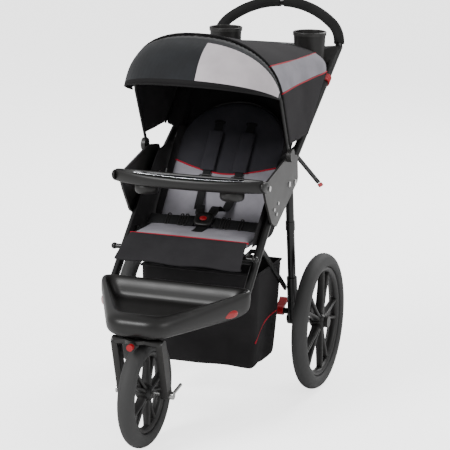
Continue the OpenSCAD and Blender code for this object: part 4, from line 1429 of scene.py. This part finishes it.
@dataclass
class Basket:
    """Cloth basket that sags between its rim and floor board."""

    sag: float = 7 * MM
    levels: int = 16
    per_side: int = 12
    keep: float = 0.35

    def build(self) -> None:
        """Builds the basket's shell, rim hem and red side seams."""
        low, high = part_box("basket")
        centre = (low + high) / 2
        loops = []
        for i in range(self.levels + 1):
            v = i / self.levels
            z = high.z - 2 * MM - (high.z - low.z - 3 * MM) * v
            hx = (high.x - low.x) / 2 - 1 * MM - 9 * MM * v**2
            rear = high.y - 1 * MM - 36 * MM * v**1.5
            front = low.y + 1 * MM + 5 * MM * v
            loop = []
            corners = [(hx, front), (hx, rear), (-hx, rear), (-hx, front)]
            for c in range(4):
                a, b = corners[c], corners[(c + 1) % 4]
                for k in range(self.per_side):
                    t = k / self.per_side
                    bow = math.sin(math.pi * t)
                    crease = 1.6 * MM * math.sin(9 * t + 5 * v) * bow * v
                    pull = self.sag * bow * math.sin(math.pi * v) + crease
                    x = a[0] + (b[0] - a[0]) * t
                    y = a[1] + (b[1] - a[1]) * t
                    inward = Vector((centre.x - x, centre.y - y, 0)).normalized()
                    drop = 5 * MM * v**3 * math.sin(6.5 * t + c)
                    loop.append(Vector((x, y, z + max(drop, 0))) + inward * pull)
            loops.append(loop)
        drain = Vector((0, centre.y - 16 * MM, low.z + 3 * MM))
        floor = [[p.lerp(drain, k) for p in loops[-1]] for k in (0.3, 0.6, 0.9)]
        shell = sheet_of("basket_cloth", loops + floor, [DARK_CLOTH], 2.0 * MM, wrap=True, smooth=1)
        place(shell, "frame", "black_cloth", "basket")
        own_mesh(shell)
        rim = cord_of("basket_rim_hem", loops[0] + [loops[0][0]], 4 * MM, DARK_CLOTH)
        place(rim, "frame", "black_cloth")
        for side, name in ((1, "right"), (-1, "left")):
            path = []
            for k in range(15):
                t = k / 14
                y = low.y + 6 * MM + (high.y - low.y - 40 * MM) * t
                z = 0.196 + 0.052 * t + 0.012 * math.sin(math.pi * t)
                v = (high.z - z) / (high.z - low.z)
                x = (high.x - low.x) / 2 - 1 * MM - 9 * MM * v**2
                pull = self.sag * math.sin(math.pi * t) * math.sin(math.pi * v)
                path.append(Vector((side * (x - pull + 1.2 * MM), y, z)))
            seam = cord_of("basket_red_seam_" + name, path, 2.2 * MM, PIPING_RED)
            place(seam, "frame", "black_cloth")
            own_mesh(seam)


# ---------------------------------------------------------------- moulded pieces


@dataclass
class Nose:
    """Footwell moulding over the front wheel, with its reflectors."""

    # place x, y and radius of the rear and the front corner, and height at the rear and the front,
    # all in millimetres, from the underside over the rim and down into the footwell
    rings: tuple[tuple[Corner, Corner, float, float], ...] = (
        ((140, -300, 12), (26, -470, 30), 322, 322),
        ((160, -286, 18), (30, -496, 50), 321, 321),
        ((182, -274, 20), (31, -498, 61), 332, 328),
        ((198, -267, 22), (32, -500, 67), 346, 338),
        ((200, -266, 23.6), (32, -500, 67.6), 366, 350),
        ((200, -266, 23.6), (32, -500, 66), 392, 364),
        ((200, -266, 22), (32, -500, 60), 402, 374),
        ((198, -267, 18), (33, -496, 50), 404.5, 381),
        ((192, -272, 16), (36, -486, 46), 402, 384),
        ((182, -280, 15), (42, -472, 42), 392, 381),
        ((172, -286, 14), (48, -460, 37), 376, 372),
        ((162, -291, 15), (46, -450, 33), 358, 360),
        ((148, -300, 14), (40, -440, 27), 349.5, 351),
        ((110, -320, 12), (30, -410, 20), 348.5, 349),
    )
    lens_at: tuple[float, float, float] = (0.187, -0.331, 0.351)
    lens_faces: tuple[float, float, float] = (0.82, -0.57, 0.06)
    lens_long: float = 25 * MM
    lens_tall: float = 13 * MM

    def ring(self, ear: Corner, tip: Corner, rear_z: float, front_z: float) -> Row:
        """Gives a loop round two ears and two front corners, which slopes from rear to front.

        Args:
            ear: Place x, y and radius of the rear corner in millimetres.
            tip: Place x, y and radius of the front corner in millimetres.
            rear_z: Height at the rear in millimetres.
            front_z: Height at the front in millimetres.

        Returns:
            The loop.
        """
        circles = [(side * x, y, r) for x, y, r in (ear, tip) for side in (-1, 1)]
        dense = []
        for k in range(720):
            c, s = math.cos(math.tau * k / 720 + math.pi / 2), math.sin(math.tau * k / 720 + math.pi / 2)
            x, y, r = max(circles, key=lambda circle: circle[0] * c + circle[1] * s + circle[2])
            dense.append(Vector((x + r * c, y + r * s, 0)))
        steps = [(b - a).length for a, b in zip(dense, dense[1:] + dense[:1])]
        every, loop, walked, k = sum(steps) / 80, [], 0.0, 0
        for i in range(80):
            while walked + steps[k] < i * every:
                walked += steps[k]
                k += 1
            part = (i * every - walked) / steps[k] if steps[k] else 0.0
            p = dense[k].lerp(dense[(k + 1) % 720], part)
            front = min(max((ear[1] - p.y) / (ear[1] - tip[1] + tip[2] * 0.6), 0.0), 1.0)
            loop.append(Vector((p.x, p.y, rear_z + (front_z - rear_z) * front**0.8)) * MM)
        return loop

    def build(self) -> None:
        """Builds the dished moulding and dresses the reflectors."""
        loops = [self.ring(*sizes) for sizes in self.rings]
        shell = loft("nose_moulding", loops, MOULDED_BLACK, smooth=1)
        place(shell, "frame", "moulded_plastic", "nose_shell")
        for side, name in ((-1, "left"), (1, "right")):
            self.reflector(side, name)

    def reflector(self, side: int, name: str) -> None:
        """Builds a domed oval lens on the moulding's flank.

        Args:
            side: -1 or 1.
            name: Name of the side.
        """
        x, y, z = self.lens_at
        centre = Vector((side * x, y, z))
        x, y, z = self.lens_faces
        out = Vector((side * x, y, z)).normalized()
        along = Vector((0, 0, 1)).cross(out).normalized()
        up = out.cross(along)
        loops = []
        for proud, size in ((-6, 1.0), (1.5, 1.0), (4.0, 0.94), (6.0, 0.74), (6.8, 0.4)):
            loop = []
            for k in range(32):
                a = math.tau * k / 32
                c, s = math.cos(a) * size, math.sin(a) * size
                spot = centre + out * proud * MM + along * (c * self.lens_long) + up * (s * self.lens_tall)
                loop.append(spot)
            loops.append(loop)
        lens = loft("reflector_lens_" + name, loops, LENS_RED, smooth=1)
        place(lens, "frame", "reflector_red", "reflector_" + name)


@dataclass
class ChildTray:
    """Curved tray across the front of the seat."""

    base: float = 0.654
    half: float = 0.226
    # half width at which the forward bow ends, and the tray's middle line at its ends
    bow_half: float = 0.23
    line_y: float = -0.166
    bow: float = 0.012
    # half length of the pale strip along the top, a painted reflection
    strip_half: float = 0.165
    well_at: tuple[float, float, float] = (0.128, -0.165, 0.629)
    arm_inner: float = 0.2190
    arm_outer: float = 0.2276

    def build(self) -> None:
        """Builds the tray's body, the pale strip of painted reflection along its top, cup wells and arms."""
        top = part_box("child_tray")[1].z - 1 * MM
        base = self.base
        count = 96

        def outline(k: int, grow: float) -> tuple[float, float]:
            """Gives a place on the tray's plan, a band that bows forward.

            Args:
                k: Number of the place on its way round.
                grow: How far the outline is moved outwards.

            Returns:
                The place's x and y.
            """
            a = math.tau * k / count
            c, s = math.cos(a), math.sin(a)
            x = (self.half + grow) * math.copysign(abs(c) ** 0.55, c)
            bow = 1 - (x / self.bow_half) ** 2
            middle = self.line_y - self.bow * bow
            half = 0.016 + 0.026 * bow**0.7 if bow > 0 else 0.016
            return x, middle + (half + grow) * math.copysign(abs(s) ** 0.6, s)

        def ring(grow: float, height: Callable[[float], float]) -> Row:
            """Gives a loop round the tray at a height that may depend on x."""
            return [Vector((x, y, height(x))) for x, y in (outline(k, grow) for k in range(count))]

        def crest(x: float) -> float:
            """Gives the rim's height, a little lower in the middle."""
            return top - 5 * MM * (1 - (x / self.half) ** 2)

        loops = []
        for grow, height in (
            (-0.014, lambda x: base + 1 * MM),
            (-0.005, lambda x: base + 1 * MM),
            (0.0, lambda x: base + 8 * MM),
            (0.0, lambda x: crest(x) - 7 * MM),
            (-0.003, lambda x: crest(x) - 1.5 * MM),
            (-0.006, crest),
            (-0.009, lambda x: crest(x) - 3 * MM),
            (-0.011, lambda x: crest(x) - 11 * MM),
            (-0.015, lambda x: crest(x) - 12.5 * MM),
        ):
            loops.append(ring(grow, height))
        body = [loft("tray_body", loops, MOULDED_BLACK, smooth=1)]
        for side in (-1, 1):
            body.append(self.well(side))
            body.append(self.arm(side))
        tray = joined("tray_moulding", body)
        place(tray, "tray", "moulded_plastic", "child_tray")
        # a pale metallic strip just behind the front rim: a painted reflection of the sky on the glossy top
        strip = []
        for k in range(41):
            x = -self.strip_half + 2 * self.strip_half * k / 40
            y = self.line_y - self.bow * (1 - (x / self.bow_half) ** 2) - 0.002
            strip.append(Vector((x, y, crest(x) - 1.2 * MM)))
        highlight_strip = strap_of("tray_painted_reflection", strip, Vector((0, 1, 0)), 24 * MM, 2.4 * MM, PAINTED_REFLECTION)
        place(highlight_strip, "tray", "moulded_plastic")

    def well(self, side: int) -> bpy.types.Object:
        """Makes one cup well under the tray.

        Args:
            side: -1 or 1.

        Returns:
            The well.
        """
        x, y, low = self.well_at
        angles = [math.tau * k / 32 for k in range(32)]
        loops = []
        for z, r in ((0.662, 0.0355), (0.640, 0.0350), (low + 0.004, 0.0335), (low, 0.0300)):
            loops.append([
                Vector((side * x + r * math.cos(a), y + r * 0.92 * math.sin(a), z)) for a in angles
            ])
        return loft("well", list(reversed(loops)), MOULDED_BLACK, smooth=0)

    def arm(self, side: int) -> bpy.types.Object:
        """Makes one arm that reaches back to the tray's pivot.

        Args:
            side: -1 or 1.

        Returns:
            The arm.
        """
        inner, outer = self.arm_inner, self.arm_outer
        loops = []
        for x, grow in ((inner, -1.5), (inner + 0.001, 0), (outer - 0.002, 0), (outer, -2)):
            loop = []
            for k in range(36):
                a = math.tau * k / 36
                c, s = superellipse(a, 2.3)
                y = -0.158 + (0.030 + grow * MM) * c
                z = 0.670 + (0.0165 + grow * MM) * s - 0.006 * c
                loop.append(Vector((side * x, y, z)))
            loops.append(loop)
        return loft("arm", loops if side > 0 else list(reversed(loops)), MOULDED_BLACK, smooth=0)


@dataclass
class Handle:
    """Foam grips and the parent console."""

    frame: dict
    cup_at: tuple[float, float, float] = (0.136, 0.478, 1.0175)
    cup_r: float = 0.0485

    def build(self) -> None:
        """Dresses the handle's pieces and builds the cup rims."""
        dress(self.frame, TUBE_BLACK, "handle_tube_left", "handle_tube_right", "handle_loop", "grip_joiner")
        dress(self.frame, FOAM, "foam_grip_left", "foam_grip_right")
        dress(self.frame, MOULDED_BLACK, "parent_console")
        dress(self.frame, LID_GREY, "console_lid")
        dress(self.frame, RED_PLASTIC, "fold_trigger_left", "fold_trigger_right")
        for side, name in ((-1, "left"), (1, "right")):
            x, y, z = self.cup_at
            ring = []
            for k in range(40):
                a = math.tau * k / 40
                across, along = self.cup_r * math.cos(a), self.cup_r * math.sin(a)
                ring.append(Vector((side * x + across, y + along, z)))
            rim = cord_of("cup_rim_" + name, ring, 3.2 * MM, MOULDED_BLACK, 10, closed=True)
            place(rim, "handle", "moulded_plastic")


def smooth_nodes(frame: dict) -> None:
    """Shades the carried over nodes smooth except at their sharp edges.

    Args:
        frame: The loaded frame.
    """
    for thing in frame["nodes"].values():
        thing.data.polygons.foreach_set("use_smooth", [True] * len(thing.data.polygons))
        thing.data.set_sharp_from_angle(angle=math.radians(32))


def soften(frame: dict, width: float, *nodes: str) -> None:
    """Rounds the sharp edges of carried over nodes a little, so that they catch the light.

    Args:
        frame: The loaded frame.
        width: Width of the rounding.
        nodes: Node names.
    """
    for node in nodes:
        bevel = frame["nodes"][node].modifiers.new("edges", "BEVEL")
        bevel.width = width
        bevel.segments = 2
        bevel.limit_method = "ANGLE"
        bevel.angle_limit = math.radians(50)


def main() -> None:
    """Builds the whole scene."""
    logging.basicConfig(level=logging.INFO, format="%(name)s: %(message)s")
    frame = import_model()
    Studio().build()
    smooth_nodes(frame)
    dress(frame, TUBE_BLACK, "down_tube_left", "down_tube_right", "calf_support_bar", "seat_cross_tube",
          "rear_leg_left", "rear_leg_right", "rear_axle_beam", "brace_left", "brace_right")
    dress(frame, MOULDED_BLACK, "side_bracket_left", "side_bracket_right", "front_fork", "hub_cap_left",
          "hub_cap_right")
    dress(frame, ZINC, "pivot_pins_left", "pivot_pins_right", "front_axle", "quick_release_lever",
          "front_valve", "rear_stub_axles")
    dress(frame, RED_PLASTIC, "swivel_lock_knob", "brake_pedal_left", "brake_pedal_right")
    soften(frame, 1.6 * MM, "front_fork", "side_bracket_left", "side_bracket_right", "brake_pedal_left",
           "brake_pedal_right")
    for wheel in (
        Wheel("front", "front_tyre", "front_rim", "front_wheel"),
        Wheel("rear_left", "rear_tyre_left", "rear_rim_left", "rear_wheel_left"),
        Wheel("rear_right", "rear_tyre_right", "rear_rim_right", "rear_wheel_right"),
    ):
        wheel.build()
    Nose().build()
    Basket().build()
    Seat(frame).build()
    ChildTray().build()
    Handle(frame).build()
    Canopy(frame).build()


if __name__ == "__main__":
    main()
